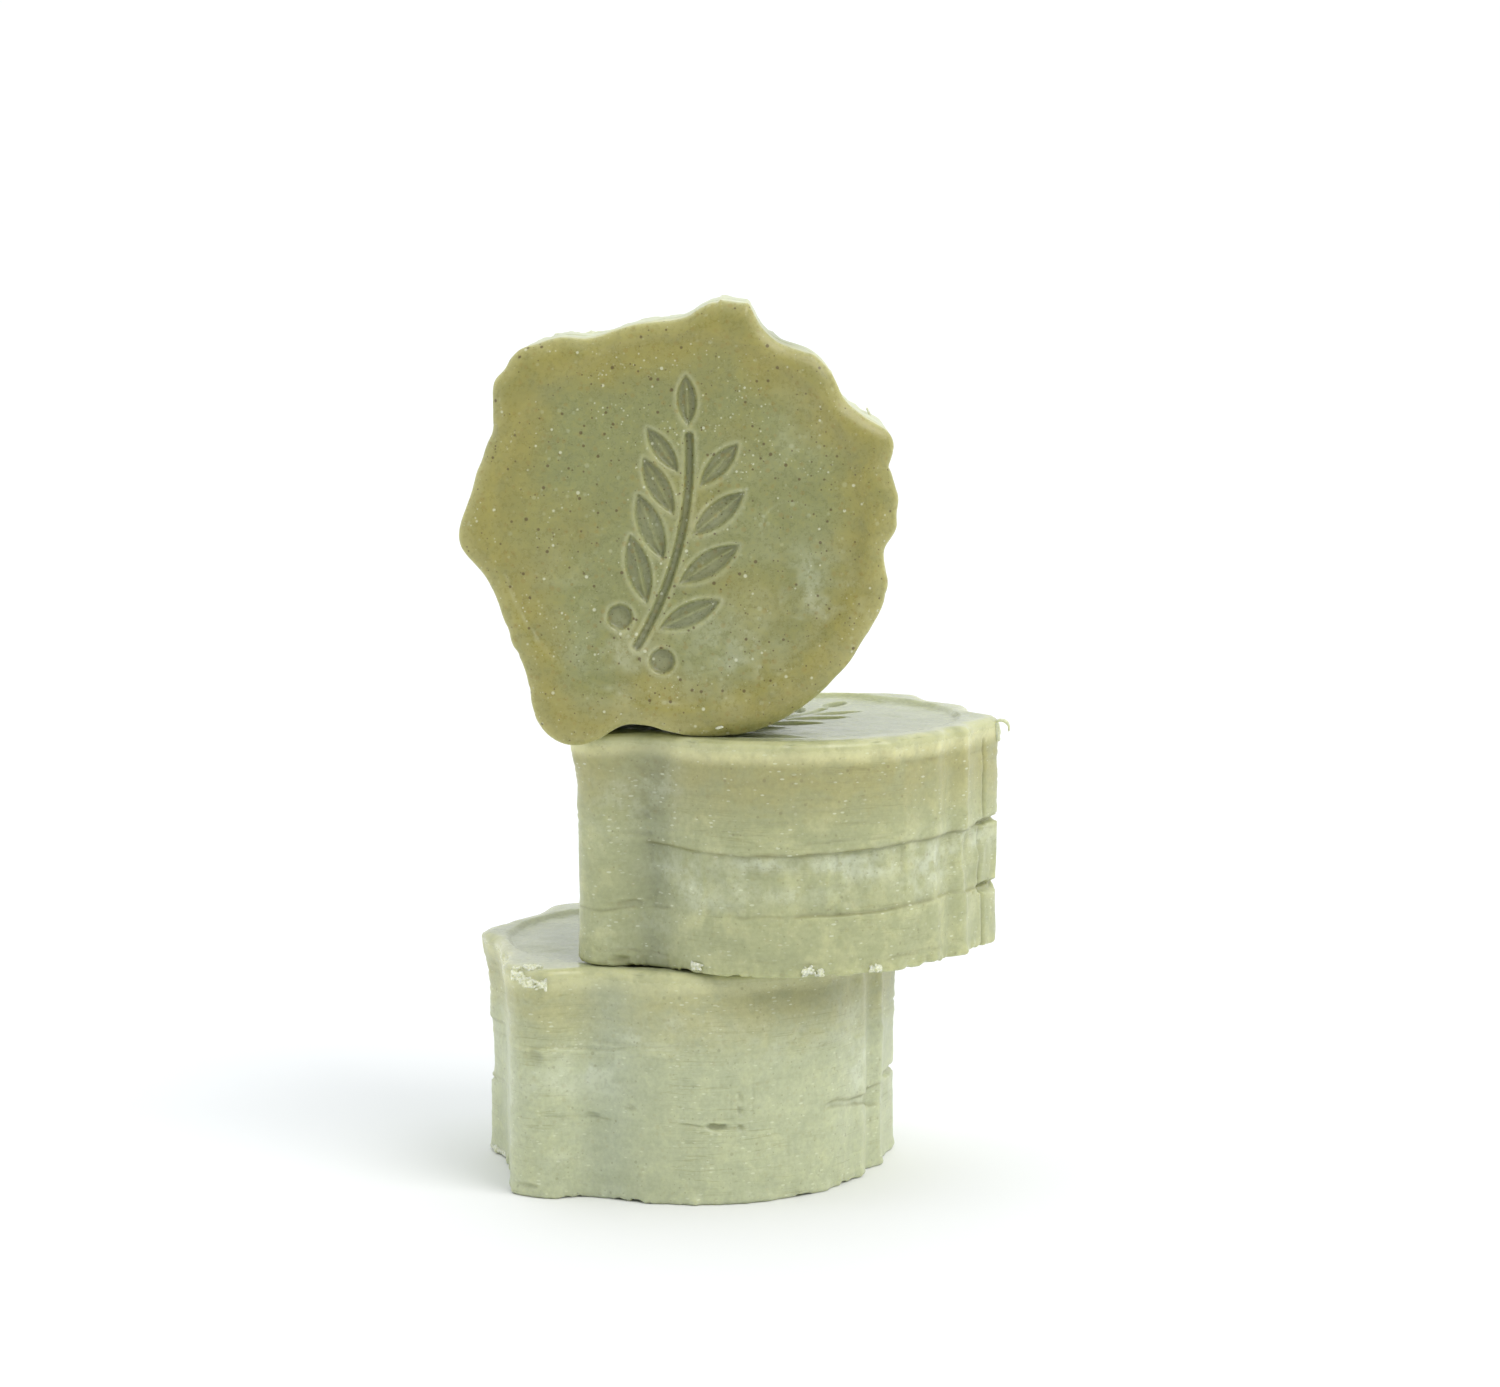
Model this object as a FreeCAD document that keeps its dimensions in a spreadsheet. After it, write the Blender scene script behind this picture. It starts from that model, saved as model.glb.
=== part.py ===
import FreeCAD, Part
import math
import os
import Sketcher
from FreeCAD import Placement, Rotation, Vector

# A stack of three soap pucks cast in the same wax-seal mould, in millimetres.
# The bottom puck lies on the ground, the middle puck lies on it a little to the right, and the
# upright puck stands on its edge on the front of the middle puck, its stamped face to the front (-Y).
# Origin: the centre of the bottom puck's underside. +Z is up.

SIZES = [
    ("seal_radius", "29.4"),
    ("puck_thickness", "36"),
    ("rim_round", "1.6"),
    ("disc_radius", "27.8"),
    ("disc_depth", "0.6"),
    ("groove_depth", "0.9"),
    ("sprig_length", "33"),
    ("sprig_drop", "3.5"),
    ("sprig_lean", "-14"),
    ("stem_bend", "55"),
    ("stem_width", "1.3"),
    ("leaf_length", "10.5"),
    ("leaf_width", "3.6"),
    ("leaf_gap", "1.7"),
    ("berry_radius", "1.9"),
    ("bottom_turn", "-12"),
    ("middle_turn", "-25.5"),
    ("middle_right", "15.4"),
    ("middle_back", "-3.7"),
    ("upright_front", "31.9"),
    ("stand_height", "32.3"),
    ("lobe_flat_depth", "32.6"),
    ("crumb_size", "1"),
    ("flake_thickness", "0.4"),
    ("flake_height", "2.4"),
    ("curl_radius", "1.5"),
    ("curl_thickness", "0.7"),
    ("curl_sweep", "250"),
]

# The squeezed-out lobes of the seal: direction in degrees, height as a share of seal_radius,
# and spread in degrees. The narrow ones are the drips of a wax seal, the wide ones its swells.
SEAL_LOBES = [
    (3, 0.110, 5),
    (20, 0.175, 9.5),
    (48, 0.092, 12),
    (75.5, 0.157, 9.3),
    (105, 0.026, 21),
    (125.5, 0.041, 6.5),
    (138, 0.205, 12),
    (167, 0.056, 14.5),
    (184.5, 0.101, 9.7),
    (222, 0.062, 14),
    (236, 0.213, 9),
    (246, 0.183, 7.4),
    (291, 0.139, 32),
    (331, 0.084, 24),
    (348, 0.040, 5),
]
OUTLINE_POINTS = 48
OUTLINE_QUARTERS = 4

# Leaves of the sprig: share of the stem's length from its foot, side (+1 right), share of leaf_length.
LEAVES = [
    (0.12, 1, 0.95),
    (0.20, -1, 1.0),
    (0.34, 1, 1.0),
    (0.42, -1, 1.0),
    (0.56, 1, 0.95),
    (0.64, -1, 0.9),
    (0.78, 1, 0.8),
    (0.84, -1, 0.75),
]
LEAF_SPLAY = 38
BERRIES = [(0.08, -1), (0.0, 1)]
BERRY_OFFSET = 4.4

# Trimmings that cling to the pucks. Each place is in its puck's own frame: direction in degrees,
# height above the puck's underside, and how far it sits in from the side wall (all in mm).
# Crumbs add their half sizes as shares of crumb_size: along the wall, across it, and up.
BOTTOM_CRUMBS = [
    ((240.8, 35.0, 0.4), (1.2, 0.8, 0.7)),
    ((243.6, 35.2, 0.4), (1.1, 0.8, 0.6)),
    ((246.6, 35.0, 0.3), (1.2, 0.7, 0.7)),
    ((243.0, 35.9, 2.2), (1.0, 0.9, 0.4)),
]
MIDDLE_CRUMBS = [
    ((272.0, 1.3, 0.2), (1.0, 0.6, 0.8)),
    ((302.4, 1.1, 0.1), (1.1, 0.8, 0.9)),
    ((305.4, 0.8, 0.1), (0.6, 0.8, 0.6)),
    ((321.0, 0.9, 0.2), (1.2, 0.6, 0.6)),
]
# Slivers add their length along the wall and their tilt in degrees.
UPRIGHT_FLAKES = [
    ((156.0, 8.0, 0.1), 2.8, 12),
    ((26.0, 6.0, 0.1), 3.6, -14),
    ((143.0, 20.0, 0.1), 3.0, 8),
    ((281.0, 35.4, 1.6), 1.8, 0),
]
BOTTOM_BURR = ((187.0, 1.6, 0.1), 3.4, 0)
MIDDLE_CURL = (20.0, 34.4, -0.9)

doc = FreeCAD.newDocument("SoapPucks")
sheet = doc.addObject("Spreadsheet::Sheet", "Sizes")
for row, (alias, value) in enumerate(SIZES, start=1):
    sheet.set(f"A{row}", alias)
    sheet.set(f"B{row}", value)
    sheet.setAlias(f"B{row}", alias)
doc.recompute()


def size(alias):
    """A driving dimension's value, from the sheet."""
    return float(sheet.get(alias))


# ---------------------------------------------------------------- the seal outline


def seal_ratio(angle):
    """The outline's radius in a direction, as a share of seal_radius."""
    total = 1.0
    for direction, height, spread in SEAL_LOBES:
        away = (angle - direction + 180) % 360 - 180
        total += height * math.exp(-((away / spread) ** 2))
    return total


def seal_point(angle, height=0.0, inset=0.0):
    """A point of a puck's side wall, in the puck's own frame, inset towards its axis."""
    reach = size("seal_radius") * seal_ratio(angle) - inset
    direction = math.radians(angle)
    return Vector(reach * math.cos(direction), reach * math.sin(direction), height)


def origin_plane(body, role):
    return next(f for f in body.Origin.OriginFeatures if f.Role == role)


def new_sketch(body, name):
    sketch = body.newObject("Sketcher::SketchObject", name)
    sketch.AttachmentSupport = [(origin_plane(body, "XY_Plane"), "")]
    sketch.MapMode = "FlatFace"
    return sketch


def draw_outline(sketch):
    """Four quarters of one smooth closed spline, each control point held at a share of seal_radius."""
    step = 360 / OUTLINE_POINTS
    ring = Part.BSplineCurve()
    ring.interpolate(Points=[seal_point(step * k) for k in range(OUTLINE_POINTS)], PeriodicFlag=True)
    quarter_length = (ring.LastParameter - ring.FirstParameter) / OUTLINE_QUARTERS
    for number in range(OUTLINE_QUARTERS):
        quarter = ring.copy()
        start = ring.FirstParameter + number * quarter_length
        quarter.segment(start, start + quarter_length)
        hold_spline(sketch, quarter)


def hold_spline(sketch, curve):
    """Adds a spline to the sketch, with an expression for each control point's place."""
    first = sketch.GeometryCount
    sketch.exposeInternalGeometry(sketch.addGeometry(curve, False))
    added = range(first, sketch.GeometryCount)
    circles = [k for k in added if isinstance(sketch.Geometry[k], Part.Circle)]
    for circle, pole in zip(circles, curve.getPoles()):
        for kind, place in (("DistanceX", pole.x), ("DistanceY", pole.y)):
            index = sketch.addConstraint(Sketcher.Constraint(kind, -1, 1, circle, 3, place))
            share = place / size("seal_radius")
            sketch.setExpression(f"Constraints[{index}]", f"Sizes.seal_radius * {share:.5f}")


# ---------------------------------------------------------------- the stamped sprig


def on_stem(share, offset=0.0):
    """A point beside the stem, and the stem's direction there in degrees.

    The stem is an arc whose middle is sprig_drop below the face's centre. share runs from 0 at its foot to 1 at its tip,
    and offset is the distance from its middle line, positive to the right.
    """
    bend = size("stem_bend")
    sweep = math.degrees(size("sprig_length") / bend)
    angle = (share - 0.5) * sweep
    reach = bend + offset
    local = Vector(reach * math.cos(math.radians(angle)) - bend, reach * math.sin(math.radians(angle)), 0)
    lean = size("sprig_lean")
    leaning = Rotation(Vector(0, 0, 1), lean).multVec(local)
    return leaning - Vector(0, size("sprig_drop"), 0), angle + 90 + lean


def arc(start, middle, end):
    return Part.Arc(start, middle, end)


def polar(reach, angle):
    return Vector(reach * math.cos(math.radians(angle)), reach * math.sin(math.radians(angle)), 0)


def leaf_arcs(base, heading, length, width):
    """A pointed leaf from base towards heading: two arcs that meet at its ends."""
    tip = base + polar(length, heading)
    middle = base + polar(length / 2, heading)
    side = polar(width / 2, heading + 90)
    return [arc(base, middle + side, tip), arc(tip, middle - side, base)]


def stem_arcs():
    """The stem: two long arcs side by side, closed by a half round at each end."""
    half = size("stem_width") / 2
    foot_right, middle_right, tip_right = (on_stem(share, half)[0] for share in (0, 0.5, 1))
    foot_left, middle_left, tip_left = (on_stem(share, -half)[0] for share in (0, 0.5, 1))
    tip, tip_heading = on_stem(1)
    foot, foot_heading = on_stem(0)
    return [
        arc(foot_right, middle_right, tip_right),
        arc(tip_right, tip + polar(half, tip_heading), tip_left),
        arc(tip_left, middle_left, foot_left),
        arc(foot_left, foot - polar(half, foot_heading), foot_right),
    ]


def draw_sprig(sketch):
    gap = size("leaf_gap")
    sketch.addGeometry(stem_arcs(), False)
    for share, side, part in LEAVES:
        base, heading = on_stem(share, side * gap)
        length = size("leaf_length") * part
        leaf = leaf_arcs(base, heading - side * LEAF_SPLAY, length, size("leaf_width") * part)
        sketch.addGeometry(leaf, False)
    tip, heading = on_stem(1)
    crown = leaf_arcs(tip + polar(gap, heading), heading, size("leaf_length") * 0.7, size("leaf_width") * 0.8)
    sketch.addGeometry(crown, False)
    for share, side in BERRIES:
        centre, _ = on_stem(share, side * BERRY_OFFSET)
        berry = sketch.addGeometry(Part.Circle(centre, Vector(0, 0, 1), size("berry_radius")), False)
        index = sketch.addConstraint(Sketcher.Constraint("Radius", berry, size("berry_radius")))
        sketch.setExpression(f"Constraints[{index}]", "Sizes.berry_radius")


# ---------------------------------------------------------------- the pucks


def pocket_from_top(body, sketch, name, depth):
    """Cuts down into the stamped face, by an expression for the depth, and proves that it cut."""
    before = body.Shape.Volume
    sketch.setExpression("AttachmentOffset.Base.z", "Sizes.puck_thickness")
    pocket = body.newObject("PartDesign::Pocket", name)
    pocket.Profile = sketch
    pocket.setExpression("Length", depth)
    doc.recompute()
    if not pocket.Shape.Volume < before - 1:
        raise RuntimeError(f"{name} cuts nothing")
    return pocket


def make_puck(label):
    """A cast block with rounded rims, a sunken disc in its top face and a sprig stamped in the disc."""
    body = doc.addObject("PartDesign::Body", label)
    body.Label = label
    outline = new_sketch(body, f"{label}_outline")
    draw_outline(outline)
    block = body.newObject("PartDesign::Pad", f"{label}_block")
    block.Profile = outline
    block.setExpression("Length", "Sizes.puck_thickness")
    doc.recompute()
    rim = body.newObject("PartDesign::Fillet", f"{label}_rims")
    flat_edges = [k for k, edge in enumerate(block.Shape.Edges, 1) if edge.BoundBox.ZLength < 1e-6]
    rim.Base = (block, [f"Edge{k}" for k in flat_edges])
    rim.setExpression("Radius", "Sizes.rim_round")
    doc.recompute()
    disc = new_sketch(body, f"{label}_disc_edge")
    disc.addGeometry(Part.Circle(Vector(0, 0, 0), Vector(0, 0, 1), size("disc_radius")), False)
    disc.addConstraint(Sketcher.Constraint("Coincident", 0, 3, -1, 1))
    index = disc.addConstraint(Sketcher.Constraint("Radius", 0, size("disc_radius")))
    disc.setExpression(f"Constraints[{index}]", "Sizes.disc_radius")
    pocket_from_top(body, disc, f"{label}_disc", "Sizes.disc_depth")
    sprig = new_sketch(body, f"{label}_sprig_lines")
    draw_sprig(sprig)
    pocket_from_top(body, sprig, f"{label}_sprig", "Sizes.disc_depth + Sizes.groove_depth")
    return body


def cut_flat(body, name, left, right, depth=None):
    """Wears a flat in the edge of the standing puck, between left and right, at stand_height.

    It runs through the whole puck, or from the back face to the depth that an expression gives.
    """
    before = body.Shape.Volume
    low = -2 * size("stand_height")
    high = -size("stand_height")
    sketch = new_sketch(body, f"{name}_lines")
    corners = [Vector(left, low, 0), Vector(right, low, 0), Vector(right, high, 0), Vector(left, high, 0)]
    for start, end in zip(corners, corners[1:] + corners[:1]):
        sketch.addGeometry(Part.LineSegment(start, end), False)
    for side in range(4):
        sketch.addConstraint(Sketcher.Constraint("Coincident", side, 2, (side + 1) % 4, 1))
    sketch.addConstraint(Sketcher.Constraint("Horizontal", 2))
    index = sketch.addConstraint(Sketcher.Constraint("DistanceY", -1, 1, 2, 1, high))
    sketch.setExpression(f"Constraints[{index}]", "-Sizes.stand_height")
    flat = body.newObject("PartDesign::Pocket", name)
    flat.Profile = sketch
    if depth:
        flat.setExpression("Length", depth)
        flat.Reversed = True
    else:
        flat.Type = "ThroughAll"
        flat.Midplane = True
    doc.recompute()
    if not before - 400 < flat.Shape.Volume < before - 5:
        raise RuntimeError(f"{name} isn't a small cut")


def bind_place(body, spots):
    """Binds parts of a Placement to expressions of the sheet."""
    for path, expression in spots.items():
        body.setExpression(f"Placement.{path}", expression)


bottom = make_puck("bottom_puck")
bind_place(bottom, {"Rotation.Angle": "Sizes.bottom_turn * 1 deg"})

middle = make_puck("middle_puck")
bind_place(
    middle,
    {
        "Base.x": "Sizes.middle_right",
        "Base.y": "Sizes.middle_back",
        "Base.z": "Sizes.puck_thickness",
        "Rotation.Angle": "Sizes.middle_turn * 1 deg",
    },
)

upright = make_puck("upright_puck")
# The puck stands on its lower arc. The lobe left of the arc reaches lower: its front hangs past the
# middle puck, and the rest of it is pressed flat where it stands on that puck's rim.
cut_flat(upright, "arc_flat", left=-4.0, right=22.0)
cut_flat(upright, "lobe_flat", left=-26.0, right=-4.0, depth="Sizes.lobe_flat_depth")
upright.Placement = Placement(Vector(0, 0, 0), Rotation(Vector(1, 0, 0), 90))
bind_place(
    upright,
    {
        "Base.y": "Sizes.puck_thickness - Sizes.upright_front",
        "Base.z": "2 * Sizes.puck_thickness + Sizes.stand_height",
    },
)
doc.recompute()


# ---------------------------------------------------------------- the trimmings


def on_wall(puck, place, twist=Rotation()):
    """Where a trimming sits on a puck: its own X runs along the wall and its own Y inwards."""
    angle, height, inset = place
    facing = Rotation(Vector(0, 0, 1), angle + 90)
    return puck.Placement.multiply(Placement(seal_point(angle, height, inset), facing.multiply(twist)))


def make_crumb(name, puck, place, shares):
    crumb = doc.addObject("Part::Ellipsoid", name)
    along, across, up = shares
    crumb.setExpression("Radius1", f"Sizes.crumb_size * {up}")
    crumb.setExpression("Radius2", f"Sizes.crumb_size * {along}")
    crumb.setExpression("Radius3", f"Sizes.crumb_size * {across}")
    crumb.Placement = on_wall(puck, place)
    return crumb


def make_flake(name, puck, place, length, tilt):
    """A thin sliver that stands along the wall, half sunk in it."""
    flake = doc.addObject("Part::Box", name)
    flake.Length = length
    flake.setExpression("Width", "Sizes.flake_thickness")
    flake.setExpression("Height", "Sizes.flake_height")
    corner = Vector(-length / 2, -size("flake_thickness") / 2, -size("flake_height") / 2)
    tilted = on_wall(puck, place, Rotation(Vector(0, 1, 0), tilt))
    flake.Placement = tilted.multiply(Placement(corner, Rotation()))
    return flake


def group(label, members):
    """Several separate solids under one name."""
    compound = doc.addObject("Part::Compound", label)
    compound.Label = label
    compound.Links = members
    return compound


bottom_crumbs = group(
    "bottom_puck_crumbs",
    [make_crumb(f"bottom_crumb_{k}", bottom, *crumb) for k, crumb in enumerate(BOTTOM_CRUMBS)],
)
bottom_burr = make_flake("bottom_puck_burr", bottom, *BOTTOM_BURR)
middle_crumbs = group(
    "middle_puck_crumbs",
    [make_crumb(f"middle_crumb_{k}", middle, *crumb) for k, crumb in enumerate(MIDDLE_CRUMBS)],
)
upright_flakes = group(
    "upright_puck_flakes",
    [make_flake(f"upright_flake_{k}", upright, *flake) for k, flake in enumerate(UPRIGHT_FLAKES)],
)

# A thin peel of soap that curls out over the rim of the middle puck's right-hand lobe.
middle_curl = doc.addObject("Part::Torus", "middle_puck_curl")
middle_curl.setExpression("Radius1", "Sizes.curl_radius")
middle_curl.setExpression("Radius2", "Sizes.curl_thickness / 2")
middle_curl.setExpression("Angle3", "Sizes.curl_sweep * 1 deg")
middle_curl.Placement = on_wall(middle, MIDDLE_CURL, Rotation(Vector(0, 1, 0), 90))
doc.recompute()

# ---------------------------------------------------------------- checks and files

NODES = [
    bottom,
    bottom_crumbs,
    bottom_burr,
    middle,
    middle_crumbs,
    middle_curl,
    upright,
    upright_flakes,
]

for item in doc.Objects:
    if {"Invalid", "Error"} & set(item.State):
        raise RuntimeError(f"{item.Label} failed: {item.State}")
for node in NODES:
    if node.Shape.isNull() or not node.Shape.isValid():
        raise RuntimeError(f"{node.Label} has no valid shape")

os.makedirs("parts", exist_ok=True)
for node in NODES:
    node.Shape.exportStep(f"parts/{node.Label}.step")
    print(node.Label, round(node.Shape.Volume, 1), "mm3")
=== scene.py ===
import math
from functools import reduce

import bmesh
import bpy
import numpy as np
from mathutils import Matrix, Vector


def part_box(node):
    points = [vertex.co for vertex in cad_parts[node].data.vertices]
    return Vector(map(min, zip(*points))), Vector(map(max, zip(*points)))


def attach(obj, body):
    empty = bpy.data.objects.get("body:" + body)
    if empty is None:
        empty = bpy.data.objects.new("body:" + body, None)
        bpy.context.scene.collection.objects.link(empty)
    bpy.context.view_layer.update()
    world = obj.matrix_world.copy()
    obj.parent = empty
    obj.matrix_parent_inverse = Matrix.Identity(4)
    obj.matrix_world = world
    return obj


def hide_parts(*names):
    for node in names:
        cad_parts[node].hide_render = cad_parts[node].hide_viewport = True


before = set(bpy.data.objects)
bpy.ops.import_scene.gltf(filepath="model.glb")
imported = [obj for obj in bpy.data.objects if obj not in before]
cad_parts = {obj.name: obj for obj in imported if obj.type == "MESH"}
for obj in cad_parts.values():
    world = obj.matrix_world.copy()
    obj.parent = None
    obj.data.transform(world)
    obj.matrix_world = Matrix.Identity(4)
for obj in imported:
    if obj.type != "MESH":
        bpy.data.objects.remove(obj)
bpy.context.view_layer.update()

MM = 0.001

# ------------ the CAD design's own sizes (mm)

DISC_RADIUS = 27.8
DISC_DEPTH = 0.6
GROOVE_DEPTH = 0.9
SPRIG_LENGTH = 33.0
SPRIG_DROP = 3.5
SPRIG_LEAN = -14.0
STEM_BEND = 55.0
STEM_WIDTH = 1.3
LEAF_LENGTH = 10.5
LEAF_WIDTH = 3.6
LEAF_GAP = 1.7
LEAF_SPLAY = 38.0
LEAVES = [  # each as (share of the stem, side, size)
    (0.12, 1, 0.95), (0.20, -1, 1.0), (0.34, 1, 1.0), (0.42, -1, 1.0),
    (0.56, 1, 0.95), (0.64, -1, 0.9), (0.78, 1, 0.8), (0.84, -1, 0.75),
]
CROWN_LENGTH = 0.7  # the leaf at the stem's tip, as shares of the others
CROWN_WIDTH = 0.8
BERRIES = [(0.08, -1), (0.0, 1)]
BERRY_OFFSET = 4.4
BERRY_RADIUS = 1.9
RIM_LINE = (1.5, 2.2)  # the side wall meets the rim this far below the face

# ------------ what marks the upright puck (mm, in its own frame)

# it is pressed flat at REST_LEVEL from its back up to REST_HEIGHT, and slumps there between two lobes
REST_LEVEL = -32.3
REST_HEIGHT = 32.6
NUB_DROP = 0.2  # the top nub is broken off this much lower, sloping, with steep flanks
NUB_SLOPE = 0.12
NUB_HALF = 2.1
NUB_FLANK = 1.7
NUB_REACH = 6.0

# fine pale rings on every face as (x, y, radius), and milky films on this one as (x, y, spread, strength)
FAINT_RINGS = [(18.9, -10.1, 4.5), (16.6, -1.1, 4.2), (-5.9, -19.2, 3.4)]
FACE_FILMS = [
    (19.0, -9.0, 6.0, 0.6), (24.5, -14.0, 4.5, 0.6), (8.0, -20.5, 7.0, 0.7), (-10.0, -22.0, 7.0, 0.6),
    (-16.0, -8.0, 6.0, 0.25), (4.0, 2.0, 9.0, 0.2), (17.0, 14.0, 6.0, 0.3),
]
FILM_STRENGTH = 0.72

# ------------ mesh density

CORE_RADIUS = 24.0  # a grid within this, rings of points outside it
FACE_ROWS = 15
RIM_ROWS = 8
FOOT_ROWS = 5
BACK_RADIUS = 21.0
# cells across the face's middle (its rim then has 4 times as many points), and rows down the wall
FINE_FACE = (160, 66)
FINE_WALL = (120, 116)

SOFT_RIM = (3.8, 1.7)  # each rim is a quarter of an ellipse, this wide and this high
CRISP_RIM = (1.5, 1.2)
RIM_TURN = math.radians(52)  # the face's own mesh ends this far round it
FOOT_ROUND = 0.6


# ------------ small numeric helpers


def smooth(low, high, value):
    """0 below low, 1 above high, smooth between; low may be the larger."""
    t = np.clip((value - low) / (high - low), 0, 1)
    return t * t * (3 - 2 * t)


def bump(value, centre, width):
    return np.exp(-(((value - centre) / width) ** 2))


def polar(reach, angle):
    """The x and y of points at a reach and a direction in degrees."""
    turn = np.radians(angle)
    return reach * np.cos(turn), reach * np.sin(turn)


def rotated(x, y, angle):
    """A point turned about the origin by an angle in degrees."""
    cos, sin = math.cos(math.radians(angle)), math.sin(math.radians(angle))
    return x * cos - y * sin, x * sin + y * cos


def stack(*values):
    """Rows of points or faces from their columns."""
    return np.stack(np.broadcast_arrays(*values), -1)


def turn_from(angle, centre):
    """Signed difference of two directions, in degrees."""
    return (angle - centre + 180) % 360 - 180


def facing(angle, direction, spread):
    """1 at a direction, fading on both sides of it."""
    return bump(turn_from(angle, direction), 0, spread)


def between(low, high, soft, value):
    """1 from low to high, with soft ends."""
    return smooth(low - soft, low + soft, value) * smooth(high + soft, high - soft, value)


def window(angle, start, end, fade):
    """1 between two directions (counter-clockwise from start), fading out past both."""
    middle = start + ((end - start) % 360) / 2
    half = ((end - start) % 360) / 2
    return smooth(half + fade, half - fade, np.abs(turn_from(angle, middle)))


class Noise:
    """Smooth noise from -1 to 1 on a seeded lattice, so that every run gives the same."""

    SIDE = 32

    def __init__(self, seed):
        self.lattice = np.random.RandomState(seed).uniform(-1, 1, (self.SIDE,) * 3)

    def __call__(self, points, period):
        scaled = np.asarray(points, float) / period
        cell = np.floor(scaled).astype(int)
        part = scaled - cell
        part = part * part * part * (part * (part * 6 - 15) + 10)
        total = np.zeros(scaled.shape[:-1])
        for corner in np.ndindex(2, 2, 2):
            weight = np.ones(total.shape)
            for axis in range(3):
                weight = weight * (part[..., axis] if corner[axis] else 1 - part[..., axis])
            x, y, z = (np.mod(cell[..., axis] + corner[axis], self.SIDE) for axis in range(3))
            total += weight * self.lattice[x, y, z]
        return total * 1.6


# ------------ the stamped sprig


def on_stem(share, offset=0.0):
    """A point beside the stem and the stem's direction there, as in the CAD design."""
    angle = (share - 0.5) * math.degrees(SPRIG_LENGTH / STEM_BEND)
    x, y = polar(STEM_BEND + offset, angle)
    x, y = rotated(x - STEM_BEND, y, SPRIG_LEAN)
    return x, y - SPRIG_DROP, angle + 90 + SPRIG_LEAN


def leaf_distance(x, y, base_x, base_y, heading, length, width):
    """Signed distance to a leaf made of two arcs (negative inside), and the distance from its midrib."""
    half_length, half_width = length / 2, width / 2
    along, across = rotated(x - base_x, y - base_y, -heading)
    along, across = np.abs(along - half_length), np.abs(across)
    radius = (half_length**2 + half_width**2) / (2 * half_width)
    offset = radius - half_width
    inside_arc = np.hypot(along, across + offset) - radius
    to_tip = np.hypot(along - half_length, across)
    past_tip = offset * (along - half_length) > across * half_length
    return np.where(past_tip, to_tip, inside_arc), across


def stem_distance(x, y):
    """Signed distance to the stem, a band along an arc with round ends."""
    x, y = rotated(x, y + SPRIG_DROP, -SPRIG_LEAN)
    x = x + STEM_BEND
    half_sweep = SPRIG_LENGTH / STEM_BEND / 2
    angle = np.clip(np.arctan2(y, x), -half_sweep, half_sweep)
    return np.hypot(x - STEM_BEND * np.cos(angle), y - STEM_BEND * np.sin(angle)) - STEM_WIDTH / 2


def leaf_list():
    """Every leaf as (base x, base y, heading, length, width), the last one the crown at the stem's tip."""
    leaves = []
    for share, side, part in LEAVES:
        x, y, heading = on_stem(share, side * LEAF_GAP)
        leaves.append((x, y, heading - side * LEAF_SPLAY, LEAF_LENGTH * part, LEAF_WIDTH * part))
    x, y, heading = on_stem(1.0)
    step_x, step_y = polar(LEAF_GAP, heading)
    leaves.append((x + step_x, y + step_y, heading, LEAF_LENGTH * CROWN_LENGTH, LEAF_WIDTH * CROWN_WIDTH))
    return leaves


def sprig_depth(x, y):
    """How deep the stamp has pressed the soap, from 0 to 1, and the raised welt beside it."""
    nearest = stem_distance(x, y)
    vein = np.zeros(x.shape)
    for leaf in leaf_list():
        distance, across = leaf_distance(x, y, *leaf)
        vein = np.maximum(vein, bump(across, 0, 0.28) * smooth(0.1, -0.5, distance))
        nearest = np.minimum(nearest, distance)
    for share, side in BERRIES:
        berry_x, berry_y, _ = on_stem(share, side * BERRY_OFFSET)
        nearest = np.minimum(nearest, np.hypot(x - berry_x, y - berry_y) - BERRY_RADIUS)
    pressed = smooth(0.16, -0.34, nearest)
    welt = bump(nearest, 0.42, 0.3)
    return pressed * (1 - 0.35 * vein), welt


# ------------ where each puck is, read from the frame


def node_points(name):
    """The points of a CAD node's mesh, in mm."""
    return np.array([v.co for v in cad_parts[name].data.vertices]) / MM


def fit_circle(points):
    """The centre and radius of the circle nearest to points in a plane."""
    system = np.column_stack([2 * points, np.ones(len(points))])
    x, y, rest = np.linalg.lstsq(system, (points**2).sum(1), rcond=None)[0]
    return np.array([x, y]), math.sqrt(rest + x * x + y * y)


def disc_centre(points):
    """The centre of the ring of points that lies DISC_RADIUS from it, leaving out all other points."""
    centre = (points.max(0) + points.min(0)) / 2
    for slack in (6.0, 3.0, 1.5, 0.6, 0.2):
        reach = np.hypot(*(points - centre).T)
        centre, _ = fit_circle(points[np.abs(reach - DISC_RADIUS) < slack])
    return centre


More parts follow.
